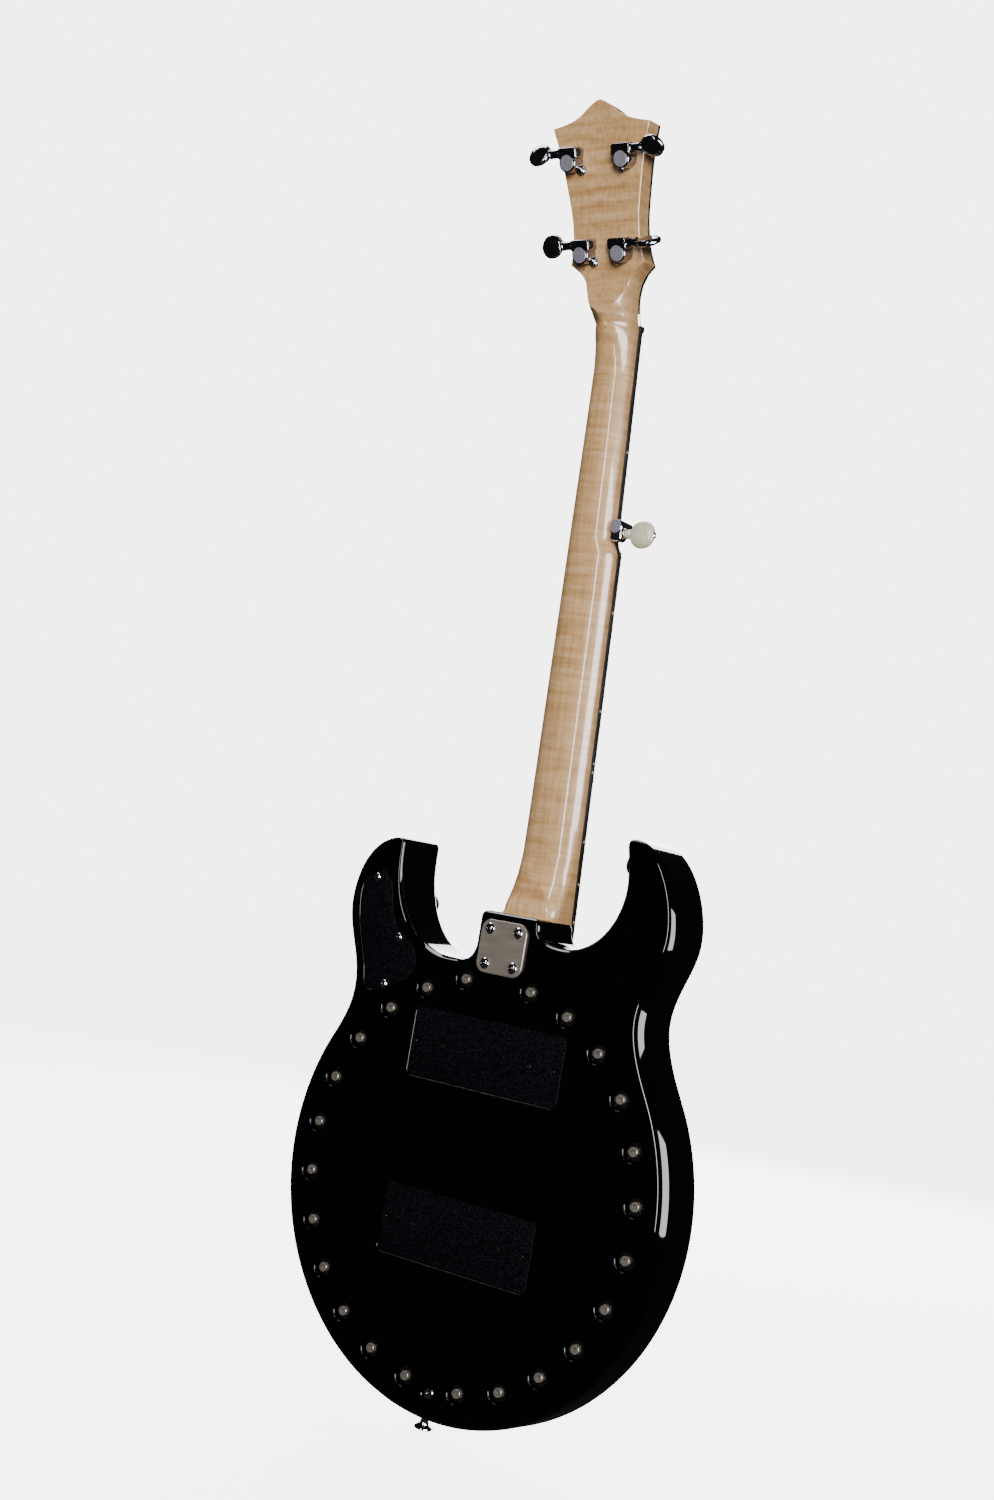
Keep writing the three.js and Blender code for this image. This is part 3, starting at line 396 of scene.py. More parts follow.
def pearl():
    look = Look("cream_pearloid", (0.84, 0.76, 0.56), Roughness=0.2, Subsurface_Weight=0.25,
                Subsurface_Scale=0.003, Coat_Weight=0.6, Coat_Roughness=0.08)
    swirl = look.noise(70, detail=3, distortion=1.6)
    colours = ((0.34, (0.66, 0.58, 0.4)), (0.5, (0.82, 0.74, 0.56)), (0.64, (0.9, 0.86, 0.74)))
    look.to("Base Color", look.ramp(swirl, *colours))
    look.bump(swirl, 0.05, 0.0003)
    return look.material


def wound():
    look = Look("wound_wire", (0.52, 0.5, 0.47), Metallic=1.0, Roughness=0.25)
    wave = look.node("TexWave", Scale=900.0)
    wave.bands_direction = "Z"
    look.links.new(look.coords, wave.inputs["Vector"])
    look.bump(wave.outputs["Fac"], 0.6, 0.0001)
    return look.material


LOOKS = {
    "lacquer": lacquer(),
    "maple": maple(),
    "ebony": grained("ebony", (0.006, 0.005, 0.0045), (0.022, 0.017, 0.014), 0.42),
    "overlay": plastic("headstock_face", (0.012, 0.011, 0.011), 0.14, Coat_Weight=0.6),
    "pebble": pebble(),
    "black": plastic("black_plastic", (0.011, 0.011, 0.012), 0.38),
    "rubber": plastic("black_washer", (0.006, 0.006, 0.007), 0.18, bump=0.1),
    "black_steel": metal("black_oxide", (0.035, 0.036, 0.038), 0.36),
    "chrome": metal("polished_chrome", (0.8, 0.8, 0.81), 0.07, wear=0.03),
    "dark_chrome": metal("black_chrome", (0.3, 0.29, 0.33), 0.1, wear=0.04),
    "cap": metal("satin_cap", (0.42, 0.41, 0.5), 0.45, 0.05, (500, 500, 500), 0.1, share=0.5),
    "nickel": metal("satin_nickel", (0.4, 0.355, 0.3), 0.42, 0.05, (30, 30, 900), 0.05, share=0.6),
    "bright_nickel": metal("polished_nickel", (0.72, 0.69, 0.64), 0.14),
    "bolt": metal("bolt_nickel", (0.3, 0.27, 0.23), 0.3, share=0.5),
    "steel": metal("plated_steel", (0.5, 0.5, 0.5), 0.3, scale=(200, 200, 200)),
    "fret": metal("fret_wire", (0.66, 0.64, 0.58), 0.2),
    "brass": metal("turned_brass", (0.7, 0.5, 0.22), 0.25, scale=(40, 900, 40)),
    "wire": metal("plain_wire", (0.68, 0.67, 0.65), 0.16),
    "wound": wound(),
    "pearl": pearl(),
    "dot": plastic("dot_inlay", (0.8, 0.78, 0.7), 0.25, fleck=0.08),
    "film": plastic("frosted_film", (0.82, 0.81, 0.76), 0.55, fleck=0.03, scale=900, bump=0.2),
    "bridge": grained("bridge_maple", (0.42, 0.25, 0.11), (0.62, 0.42, 0.22), 0.45, (18, 300, 300)),
    "bone": plastic("nut_black", (0.014, 0.013, 0.012), 0.3),
}


# ---------------------------------------------------------------------------------------------
# mesh building


class Shape:
    """Vertices in millimetres and faces, gathered ring by ring and then made into one object."""

    def __init__(self):
        self.verts, self.faces = [], []

    def rings(self, rings, caps=(True, True), looped=True, place=None):
        start, count = len(self.verts), len(rings[0])
        for ring in rings:
            self.verts.extend((place @ Vector(p)) if place else Vector(p) for p in ring)
        span = count if looped else count - 1
        for k in range(len(rings) - 1):
            a = start + k * count
            for i in range(span):
                j = (i + 1) % count
                self.faces.append((a + i, a + j, a + count + j, a + count + i))
        last = start + (len(rings) - 1) * count
        if caps[0]:
            self.faces.append(tuple(range(start, start + count))[::-1])
        if caps[1]:
            self.faces.append(tuple(range(last, last + count)))
        return self

    def turned(self, profile, place, segments=40, socket=None):
        """Turns (radius, height) pairs about +Y.

        A socket, as (its radius at an angle, its depth), sinks into the end.
        """
        angles = [2 * math.pi * k / segments for k in range(segments)]
        rings = [[(r * math.cos(t), h, r * math.sin(t)) for t in angles] for r, h in profile]
        if socket:
            reach, depth = socket
            top = profile[-1][1]
            for shrink, drop in ((1.0, 0.0), (0.92, 0.25 * depth), (0.6, depth)):
                radii = [shrink * reach(t) for t in angles]
                pairs = zip(radii, angles)
                rings.append([(r * math.cos(t), top - drop, r * math.sin(t)) for r, t in pairs])
        return self.rings(rings, place=place)

    def slab(self, outline, y0, y1, edge=0.0, steps=3, place=None):
        """A flat outline of (x, z) points between two depths, its edges rounded."""
        levels = [k / steps * math.pi / 2 for k in range(steps + 1)] if edge else [math.pi / 2]
        eased = [(edge * (1 - math.sin(a)), edge * (1 - math.cos(a))) for a in levels]
        rings = [inset(outline, back, y0 + up) for back, up in eased]
        rings += [inset(outline, back, y1 - up) for back, up in reversed(eased)]
        return self.rings(rings, place=place)

    def build(self, name, look, angle=32, weighted=False):
        mesh = bpy.data.meshes.new(name)
        mesh.from_pydata([v * MM for v in self.verts], [], self.faces)
        work = bmesh.new()
        work.from_mesh(mesh)
        bmesh.ops.remove_doubles(work, verts=work.verts, dist=1e-6)
        bmesh.ops.recalc_face_normals(work, faces=work.faces)
        work.to_mesh(mesh)
        work.free()
        mesh.materials.append(LOOKS[look])
        piece = bpy.data.objects.new(name, mesh)
        bpy.context.scene.collection.objects.link(piece)
        return smooth(piece, angle, weighted)


def smooth(piece, angle=32, weighted=False):
    mesh = piece.data
    mesh.polygons.foreach_set("use_smooth", [True] * len(mesh.polygons))
    mesh.set_sharp_from_angle(angle=angle * DEG)
    if weighted:
        modifier = piece.modifiers.new("normals", "WEIGHTED_NORMAL")
        modifier.keep_sharp = True
        modifier.weight = 100
    return piece


def inset(outline, amount, y):
    """An (x, z) outline drawn in by amount, or by one amount for each point, at depth y."""
    count = len(outline)
    pairs = [(outline[i - 1], outline[i]) for i in range(count)]
    area = sum(p[0] * q[1] - q[0] * p[1] for p, q in pairs)
    turn = 1 if area > 0 else -1
    ring = []
    for i, (x, z) in enumerate(outline):
        (x0, z0), (x1, z1) = outline[i - 1], outline[(i + 1) % count]
        tx, tz = x1 - x0, z1 - z0
        size = math.hypot(tx, tz) or 1
        d = amount[i] if isinstance(amount, list) else amount
        ring.append((x - turn * tz / size * d, y, z + turn * tx / size * d))
    return ring


def bezier(a, b, c, d, steps):
    points = []
    for k in range(steps):
        t = k / steps
        u = 1 - t
        weights = (u ** 3, 3 * u * u * t, 3 * u * t * t, t ** 3)
        points.append(tuple(sum(w * p[i] for w, p in zip(weights, (a, b, c, d))) for i in (0, 1)))
    return points


def arc(cx, cz, r, start, end, steps):
    angles = [start + (end - start) * k / steps for k in range(steps + 1)]
    return [(cx + r * math.cos(t), cz + r * math.sin(t)) for t in angles]


def rounded_rect(cx, cz, w, h, r, steps=8):
    points = []
    for k, (sx, sz) in enumerate(((1, -1), (1, 1), (-1, 1), (-1, -1))):
        start = (k - 1) * math.pi / 2
        points += arc(cx + sx * (w / 2 - r), cz + sz * (h / 2 - r), r, start, start + math.pi / 2, steps)
    return points


def at(x, y, z):
    return Matrix.Translation((x, y, z))


FACING_X = Matrix.Rotation(-math.pi / 2, 4, "Z")
FACING_LEFT = Matrix.Rotation(math.pi / 2, 4, "Z")


def carve(piece, *shapes):
    """Cuts shapes out of a piece for good."""
    for shape in shapes:
        tool = shape.build("tool", "black")
        tool.data.materials.clear()
        tool.data.materials.append(piece.data.materials[0])
        modifier = piece.modifiers.new("cut", "BOOLEAN")
        modifier.operation = "DIFFERENCE"
        modifier.solver = "EXACT"
        modifier.object = tool
        graph = bpy.context.evaluated_depsgraph_get()
        mesh = bpy.data.meshes.new_from_object(piece.evaluated_get(graph))
        piece.modifiers.clear()
        piece.data = mesh
        bpy.data.objects.remove(tool)
    return piece


def keep(piece, slot, *nodes, body=ROOT):
    """Puts a finished piece on its body and hides the CAD nodes it stands for. The slot is not used."""
    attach(piece, body)
    if nodes:
        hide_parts(*nodes)
    return piece


def repeat(piece, name, place):
    """Another object with the same mesh at another place, in millimetres."""
    other = bpy.data.objects.new(name, piece.data)
    other.matrix_world = Matrix.Translation(Vector(place) * MM)
    bpy.context.scene.collection.objects.link(other)
    return other


# ---------------------------------------------------------------------------------------------
# body


def body_outline():
    """(point, edge radius) round the body, anticlockwise from the treble shoulder."""
    treble = (BODY_R * math.cos(SHOULDER), BODY_R * math.sin(SHOULDER))
    bass = (-treble[0], treble[1])
    stretches = (
        (treble, (141.3, 96), (136.2, 108), (136.2, 121), EDGE),
        ((136.2, 121), (136.2, 145), (151.7, 162), (151.7, 186), EDGE),
        ((151.7, 186), (151.7, 212), (138, 236.5), (113.5, 237.8), HORN_EDGE),
        ((113.5, 237.8), (109.5, 238), (108.2, 236.5), (108.3, 232), HORN_EDGE),
        ((108.3, 232), (108.6, 186), (84, 156.5), (50, 156.5), EDGE),
        ((50, 156.5), (46, 156.5), (43, 156.5), (40, 156.5), EDGE),
        ((40, 156.5), (31, 156.5), (25.4, 163), (25.4, 172), HEEL_EDGE),
        ((25.4, 172), (25.4, 178), (25.4, 184), (25.4, 190.5), HEEL_EDGE),
        ((25.4, 190.5), (25.4, 193.5), (23.4, 195.5), (20.4, 195.5), HEEL_EDGE),
        ((20.4, 195.5), (6, 195.5), (-8, 195.5), (-22, 195.5), HEEL_EDGE),
        ((-22, 195.5), (-26.5, 195.5), (-28, 193), (-28.4, 189), HEEL_EDGE),
        ((-28.4, 189), (-29.5, 181), (-36, 177.6), (-50, 177.6), EDGE),
        ((-50, 177.6), (-78, 177.6), (-96.4, 205), (-95.9, 229.5), EDGE),
        ((-95.9, 229.5), (-95.5, 240), (-93, 250), (-91.8, 256), HORN_EDGE),
        ((-91.8, 256), (-90.8, 260.5), (-93.5, 262.8), (-98.5, 262.5), HORN_EDGE),
        ((-98.5, 262.5), (-120, 261), (-140.3, 226), (-140.3, 198), EDGE),
        ((-140.3, 198), (-140.3, 178), (-126.2, 160), (-126.2, 139), EDGE),
        ((-126.2, 139), (-126.2, 118), (-142.3, 94.3), bass, EDGE),
    )
    points, edges, start = [], [], EDGE
    for *corners, end in stretches:
        span = sum(math.dist(corners[i], corners[i + 1]) for i in range(3))
        steps = max(6, int(span / 2.5))
        points += bezier(*corners, steps)
        edges += [start + (end - start) * k / steps for k in range(steps)]
        start = end
    rim = arc(0, 0, BODY_R, math.pi - SHOULDER, 2 * math.pi + SHOULDER, 240)[:-1]
    return points + rim, edges + [EDGE] * len(rim)


def eased_edges(outline, edges):
    """Edge radii held under the outline's own radius at its corners, changing gently along it."""
    count = len(outline)
    limits = list(edges)
    for i in range(count):
        a, b, c = (Vector(outline[(i + k) % count]) for k in (-1, 0, 1))
        bend = (b - a).angle_signed(c - b, 0)
        if bend < 0:
            limits[i] = min(limits[i], 0.8 * (c - a).length / 2 / -bend)
    eased = []
    for i in range(count):
        reach = range(-40, 41)
        eased.append(min(limits[(i + k) % count] + 0.12 * abs(k) for k in reach))
    return [sum(eased[(i + k) % count] for k in range(-4, 5)) / 9 for i in range(count)]


def control_outline():
    corners = (
        (125, 210.3), (118, 210.6), (113.5, 207), (112, 200), (109.5, 189), (107.5, 181),
        (103, 173.5), (99, 167.5), (89, 164.5), (83, 159), (77.5, 154), (76, 146),
        (80.5, 139.5), (85, 133), (97, 126.5), (107, 122.8), (113, 121), (119, 121),
        (121.5, 123.5), (125, 127), (124.5, 133), (127, 141), (131, 153), (139.5, 170),
        (140.8, 187), (142, 201), (138, 208.5), (132, 209.8), (129.5, 210.5), (127.5, 210.4),
        (125, 210.3),
    )
    points = []
    for i in range(0, len(corners) - 1, 3):
        points += bezier(*corners[i:i + 4], 10)
    return points


def rounded_lip(size, steps=4):
    """(growth, depth) pairs up a hole's rounded rim."""
    turns = [k / steps * math.pi / 2 for k in range(steps + 1)]
    return [(size * (1 - math.cos(a)), -size + size * math.sin(a)) for a in turns]


def recess(outline, depth, lip=0.6, clearance=0.35):
    """A cutter for a sunken outline whose rim is rounded off."""
    rings = [inset(outline, -clearance, -depth)]
    for grow, y in rounded_lip(lip):
        rings.append(inset(outline, -clearance - grow, y))
    rings.append(inset(outline, -clearance - lip - 0.1, 1.5))
    return Shape().rings(rings)


def bolt_places():
    return [(BOLT_CIRCLE * math.sin(a), BOLT_CIRCLE * math.cos(a)) for a in BOLT_ANGLES]


def make_body():
    outline, edges = body_outline()
    edges = eased_edges(outline, edges)
    levels = [k / 8 * math.pi / 2 for k in range(9)]
    swell = [(RIM_R - BODY_R) * max(e - HEEL_EDGE, 0) / (EDGE - HEEL_EDGE) for e in edges]

    def level(a, y, turn):
        ring = []
        amounts = [e * (1 - math.sin(a)) - out for e, out in zip(edges, swell)]
        for i, (x, _, z) in enumerate(inset(outline, amounts, 0)):
            ring.append((x, y + turn * edges[i] * (1 - math.cos(a)), z))
        return ring

    rings = [level(a, -BODY_T, 1) for a in levels] + [level(a, 0, -1) for a in reversed(levels)]
    body = Shape().rings(rings).build("body_shell", "lacquer")

    bores = Shape()
    lip = [(BORE_R + grow, y) for grow, y in rounded_lip(BORE_LIP)]
    for x, z in bolt_places():
        bores.turned([(BORE_R, -5), *lip, (BORE_R + BORE_LIP + 0.2, 1.5)], at(x, 0, z), 48)
    bores.turned([(5.6, -4), (5.6, -0.5), (6.1, 0), (6.4, 1.5)], at(0, 0, TAIL_Z), 40)
    recesses = [recess(rounded_rect(0, z, COVER_W, COVER_H, COVER_R), RECESS) for z in COVER_Z]
    half, low, floor = POCKET
    corners = ((-half, low), (half, low), (half, 210), (-half, 210))
    pocket = Shape().rings([[(x, y, z) for x, z in corners] for y in (-BODY_T - 5, floor)])
    jack = Shape().turned([(9.8, 140), (9.8, 180)], at(0, MID_Y, JACK_Z) @ FACING_X, 40)
    carve(body, bores, *recesses, recess(control_outline(), RECESS), pocket, jack)
    smooth(body, 34, weighted=True)
    keep(body, "gloss_black_lacquer", "body")


# ---------------------------------------------------------------------------------------------
# screws, covers and plates on the back


def cross(length, width):
    def reach(t):
        a, b = max(abs(math.cos(t)), 1e-6), max(abs(math.sin(t)), 1e-6)
        return max(min(length / a, width / b), min(width / a, length / b))
    return reach


def hexagon(flat):
    def reach(t):
        return flat / math.cos((t + math.pi / 6) % (math.pi / 3) - math.pi / 6)
    return reach


def dome(radius, rise, base, steps=6, end=0.12):
    """The (radius, height) pairs of a shallow dome, from its rim in towards its middle."""
    ball = (radius ** 2 + rise ** 2) / (2 * rise)
    pairs = []
    for k in range(steps + 1):
        r = radius * (1 - (1 - end) * k / steps)
        pairs.append((r, base + math.sqrt(ball ** 2 - r ** 2) - (ball - rise)))
    return pairs


def make_screws():
    def first(name, profile, look, socket, segments=72):
        return Shape().turned(profile, Matrix(), segments, socket).build(name, look)

    oval_head = [(2.1, -30), (2.1, -2.2), (4.1, 0.1), (4.25, 0.35), *dome(4.1, 1.9, 0.45, end=0.5)]
    oval = first("oval_screw", oval_head, "chrome", (cross(1.95, 0.5), 1.5))
    pan_head = [(1.5, -12), (1.5, -0.1), (3.0, 0), (3.1, 0.5), *dome(3.0, 1.1, 0.75, end=0.5)]
    pan = first("pan_screw", pan_head, "chrome", (cross(1.45, 0.4), 1.2))
    flat_head = [(1.5, -12), (1.5, -2.6), (3.25, -0.15), (3.3, 0), (1.9, 0.04)]
    flat = first("flat_screw", flat_head, "black_steel", (cross(1.75, 0.42), 1.1))
    grub = [(1.5, -30), (1.5, -1.2), (1.75, -1), (1.75, -0.2), (1.2, 0)]
    height = first("height_screw", grub, "chrome", (cross(1.0, 0.32), 0.7), 48)
    cylinder_head = [(2.3, -50), (2.3, -4.4), (3.45, -4.3), (3.5, -0.4), (3.2, 0), (1.75, 0)]
    bolt = first("tension_bolt", cylinder_head, "bolt", (hexagon(1.5), 2.4), 48)
    band = [(3.7, -5), (3.7, -3.6), (3.9, -3.3), (6.0, -3.3), (6.5, -3.6), (6.6, -4.0), (6.6, -5)]
    ring = first("washer", band, "rubber", None, 48)

    for i, (dx, dz) in enumerate(((-1, -1), (-1, 1), (1, -1), (1, 1))):
        place = (dx * PLATE_SCREW, 2.05, PLATE_Z + dz * PLATE_SCREW)
        keep(repeat(oval, f"plate_screw_{i + 1}", place), "chrome", f"neck_plate_screw_{i + 1}")
    for i, (x, z) in enumerate(CONTROL_SCREWS):
        screw = repeat(pan, f"control_screw_{i + 1}", (x, COVER_TOP, z))
        keep(screw, "chrome", f"control_cover_screw_{i + 1}")
    number = 0
    for z in COVER_Z:
        for side in (-1, 1):
            number += 1
            screw = repeat(flat, f"cover_screw_{number}", (side * COVER_SCREW_X, COVER_TOP - 0.05, z))
            keep(screw, "black_screws", f"pickup_cover_screw_{number}")
            place = (side * PICKUP_SCREW_X, -0.7, z)
            keep(repeat(height, f"pickup_height_screw_{number}", place), "chrome")
    for i, (x, z) in enumerate(bolt_places()):
        keep(repeat(bolt, f"tension_bolt_{i + 1}", (x, -0.6, z)), "satin_nickel")
        keep(repeat(ring, f"bolt_washer_{i + 1}", (x, 0, z)), "black_plastic")
    for pattern in (oval, pan, flat, height, bolt, ring):
        bpy.data.objects.remove(pattern)

    profile = [(2.2, -52), (2.2, -3.8), (4, -3.6), (4.1, -1.4), (3.6, -0.8), (2, -0.75)]
    tail = Shape().turned(profile, at(0, 0, TAIL_Z), 72, (cross(1.8, 0.5), 1.2))
    keep(tail.build("tailpiece_screw", "chrome"), "chrome", "tailpiece_bolt")


def cover_plate(outline, name):
    return Shape().slab(outline, COVER_TOP - 2, COVER_TOP, 0.4).build(name, "pebble")


def make_covers():
    names = ("neck_pickup_cover", "bridge_pickup_cover")
    countersink = [(2, -6), (2, -2), (3.7, COVER_TOP + 0.05), (3.7, 2)]
    for name, z in zip(names, COVER_Z):
        cover = cover_plate(rounded_rect(0, z, COVER_W, COVER_H, COVER_R), name + "_plate")
        holes = Shape()
        for side in (-1, 1):
            holes.turned(countersink, at(side * COVER_SCREW_X, 0, z), 48)
            holes.turned([(2.1, -6), (2.1, 2)], at(side * PICKUP_SCREW_X, 0, z), 32)
        keep(smooth(carve(cover, holes)), "textured_black_cover", name)
    control = cover_plate(control_outline(), "control_plate")
    holes = Shape()
    for x, z in CONTROL_SCREWS:
        holes.turned([(1.9, -6), (1.9, 2)], at(x, 0, z), 32)
    keep(smooth(carve(control, holes)), "textured_black_cover", "control_cover")

    outline = rounded_rect(0, PLATE_Z, 41, 39, 8, 12)
    plate = Shape().slab(outline, 0.05, 2.05, 0.55, 4).build("neck_joint_plate", "nickel")
    holes = Shape()
    for dx in (-1, 1):
        for dz in (-1, 1):
            holes.turned([(2.6, -1), (2.6, 0.6), (4.3, 2.3), (4.3, 4)],
                         at(dx * PLATE_SCREW, 0, PLATE_Z + dz * PLATE_SCREW), 48)
    keep(smooth(carve(plate, holes), weighted=True), "satin_nickel", "neck_plate")


# ---------------------------------------------------------------------------------------------
# neck


def monotone(xs, ys, x):
    """A smooth curve through (xs, ys) that doesn't overshoot."""
    i = max(k for k in range(len(xs) - 1) if k == 0 or x >= xs[k])
    slopes = [(ys[k + 1] - ys[k]) / (xs[k + 1] - xs[k]) for k in range(len(xs) - 1)]

    def tangent(k):
        if k in (0, len(xs) - 1):
            return slopes[0] if k == 0 else slopes[-1]
        a, b = slopes[k - 1], slopes[k]
        return 0 if a * b <= 0 else 2 * a * b / (a + b)

    h = xs[i + 1] - xs[i]
    t = (x - xs[i]) / h
    return ((1 + 2 * t) * (1 - t) ** 2 * ys[i] + t * (1 - t) ** 2 * h * tangent(i)
            + t * t * (3 - 2 * t) * ys[i + 1] + t * t * (t - 1) * h * tangent(i + 1))


# the neck's section: where the ridge of a flat back lies, and rings up to the headstock's shoulders,
# as distance up the headstock, half width, depth of the side, half width of the flat, extra depth
RIDGE = 58 * DEG
SECTION_STEPS = 14
BEVEL = 0.8
HEAD_RINGS = (
    (1, 16.9, 2.8, 3, 13),
    (4.5, 17.2, 2.8, 8.5, 11.2),
    (8, 17.5, 2.9, 11.8, 9.2),
    (12, 18, 3.1, 14.3, 6.9),
    (18, 19.2, 3.4, 17, 3.6),
    (25, 21.8, 4.1, 19.6, 0.8),
    (32, 26.6, 6, 24.2, 0),
    (36, 31, 9, 29.6, 0),
    (38, 33.2, HEAD_T - 1.0, 32.2, 0),
)


def neck_stations():
    """Sections up the neck, each a row: the distance, the front's y and z, the direction of depth in
    y and z, the bass and treble half widths, the depth, the side's depth, the flat, the crease.
    """
    rows = []

    def level(z, depth, side, flat, crease=math.pi / 2, heel=False):
        front = board_y(z) + BOARD_T + GAP
        bass = HEEL_HALF if heel else min(bass_half(z), HEEL_HALF)
        treble = HEEL_HALF if heel else treble_half(z)
        rows.append((z, front, z, 1, 0, bass, treble, depth, side, flat, crease))

    for z in (151.8, 175, 192):
        depth = POCKET[2] - GAP - (board_y(z) + BOARD_T + GAP)
        level(z, depth, depth - 1.2, HEEL_HALF - 1.2, heel=True)
    level(197, 25.3, 17, 18.4, RIDGE)
    level(203, 24.4, 15.5, 16.8, RIDGE)
    level(210, 22.9, 12, 12.6, RIDGE)
    level(220, 20.9, 8.5, 6.5, RIDGE)
    level(231, 18.6, 5, 0.8)
    level(245, 16.8, 3.2, 0.5)
    level(340, 16, 2.5, 0.5)
    for z in (460, 464, 467, 469, 471, 473, 475, 477, 480):
        level(z, 15.5, 2.5, 0.5)
    level(560, 15, 2.3, 0.5)
    level(600, 15, 2.3, 0.5)
    level(612, 16.8, 2.4, 0.5)
    level(620, 19, 2.5, 0.5)
    level(627, 22.3, 2.7, 0.5)
    level(633, 26, 2.8, 0.5, 70 * DEG)
    c, s = math.cos(HEAD_TILT), math.sin(HEAD_TILT)
    for z, half, side, flat, extra in HEAD_RINGS:
        front = head_point(0, -HEAD_T, z - HEAD_T * HEAD_SLANT)
        depth_y, depth_z = c + s * HEAD_SLANT, c * HEAD_SLANT - s
        section = (half, half, HEAD_T + extra, side, flat, RIDGE)
        rows.append((HEAD_Z + z, front.y, front.z, depth_y, depth_z, *section))
    return rows


def half_section(edge, depth, side, flat, crease):
    """(across, depth) points from the front edge round to the flat of the back.

    A crease of less than a quarter turn meets the flat in a ridge.
    """
    turns = [k * math.pi / 12 for k in range(7)]
    points = [(edge - BEVEL * (1 - math.sin(a)), BEVEL * (1 - math.cos(a))) for a in turns]
    rise, run = math.sin(crease), math.cos(crease)
    for k in range(SECTION_STEPS + 1):
        t = k / SECTION_STEPS * crease
        across = flat + (edge - flat) * (math.cos(t) - run) / (1 - run)
        points.append((across, side + (depth - side) * math.sin(t) / rise))
    return points


def head_outline():
    """(x, z) from the treble shoulder over the crown to the bass shoulder, in the headstock's frame."""
    right = (
        ((33.2, 38), (28, 52), (28.8, 70), (31.2, 84), 18),
        ((31.2, 84), (34, 101), (36.2, 117), (42.7, 136.2), 20),
        ((42.7, 136.2), (31, 138.2), (22, 139.8), (14, 146), 16),
        ((14, 146), (8, 150.6), (3, 153.8), (0, 153.9), 12),
    )
    points = [p for *corners, steps in right for p in bezier(*corners, steps)]
    return points + [(0, 153.9)] + [(-x, z) for x, z in reversed(points)]


def make_neck():
    """Lofts the neck up to the headstock's shoulders, and carries on from there round the head."""
    rows = neck_stations()
    keys = [r[0] for r in rows]
    spots = sorted(set(keys) | {keys[0] + k * 4 for k in range(int((keys[-1] - keys[0]) / 4))}
                   | {192 + k for k in range(42)} | {630 + k for k in range(49)})
    spots = [s for s in spots if s <= keys[-1]]
    shape = Shape()
    rings = []
    for s in spots:
        row = [monotone(keys, [r[c] for r in rows], s) for c in range(1, 11)]
        y, z, dy, dz, bass, treble, *section = row
        right = [(x, y + d * dy, z + d * dz) for x, d in half_section(treble, *section)]
        left = [(-x, y + d * dy, z + d * dz) for x, d in half_section(bass, *section)]
        rings.append(right + left[::-1])
    shape.rings(rings, caps=(True, False))
    half = len(rings[0]) // 2
    last = len(shape.verts) - 2 * half

    outline = head_outline()
    profile = half_section(0, HEAD_T, HEAD_T - 1.0, -1.0, RIDGE)
    columns = [[last + k for k in range(half)]]
    for i in range(1, len(outline) - 1):
        (x0, z0), (x1, z1) = outline[i - 1], outline[i + 1]
        size = math.hypot(x1 - x0, z1 - z0)
        nx, nz = (z1 - z0) / size, -(x1 - x0) / size
        column = []
        for across, depth in profile:
            x, z = outline[i]
            y = depth - HEAD_T
            shape.verts.append(head_point(x + nx * across, y, z + nz * across + y * HEAD_SLANT))
            column.append(len(shape.verts) - 1)
        columns.append(column)
    columns.append([last + 2 * half - 1 - k for k in range(half)])
    for a, b in zip(columns, columns[1:]):
        for k in range(half - 1):
            shape.faces.append((a[k], a[k + 1], b[k + 1], b[k]))
    shape.faces.append(tuple(c[-1] for c in columns))
    shape.faces.append(tuple(c[0] for c in reversed(columns)))
    neck = shape.build("neck_and_headstock", "maple", angle=24, weighted=True)
    keep(neck, "flamed_maple", "neck")


def board_edges(z):
    return -bass_half(z), treble_half(z)


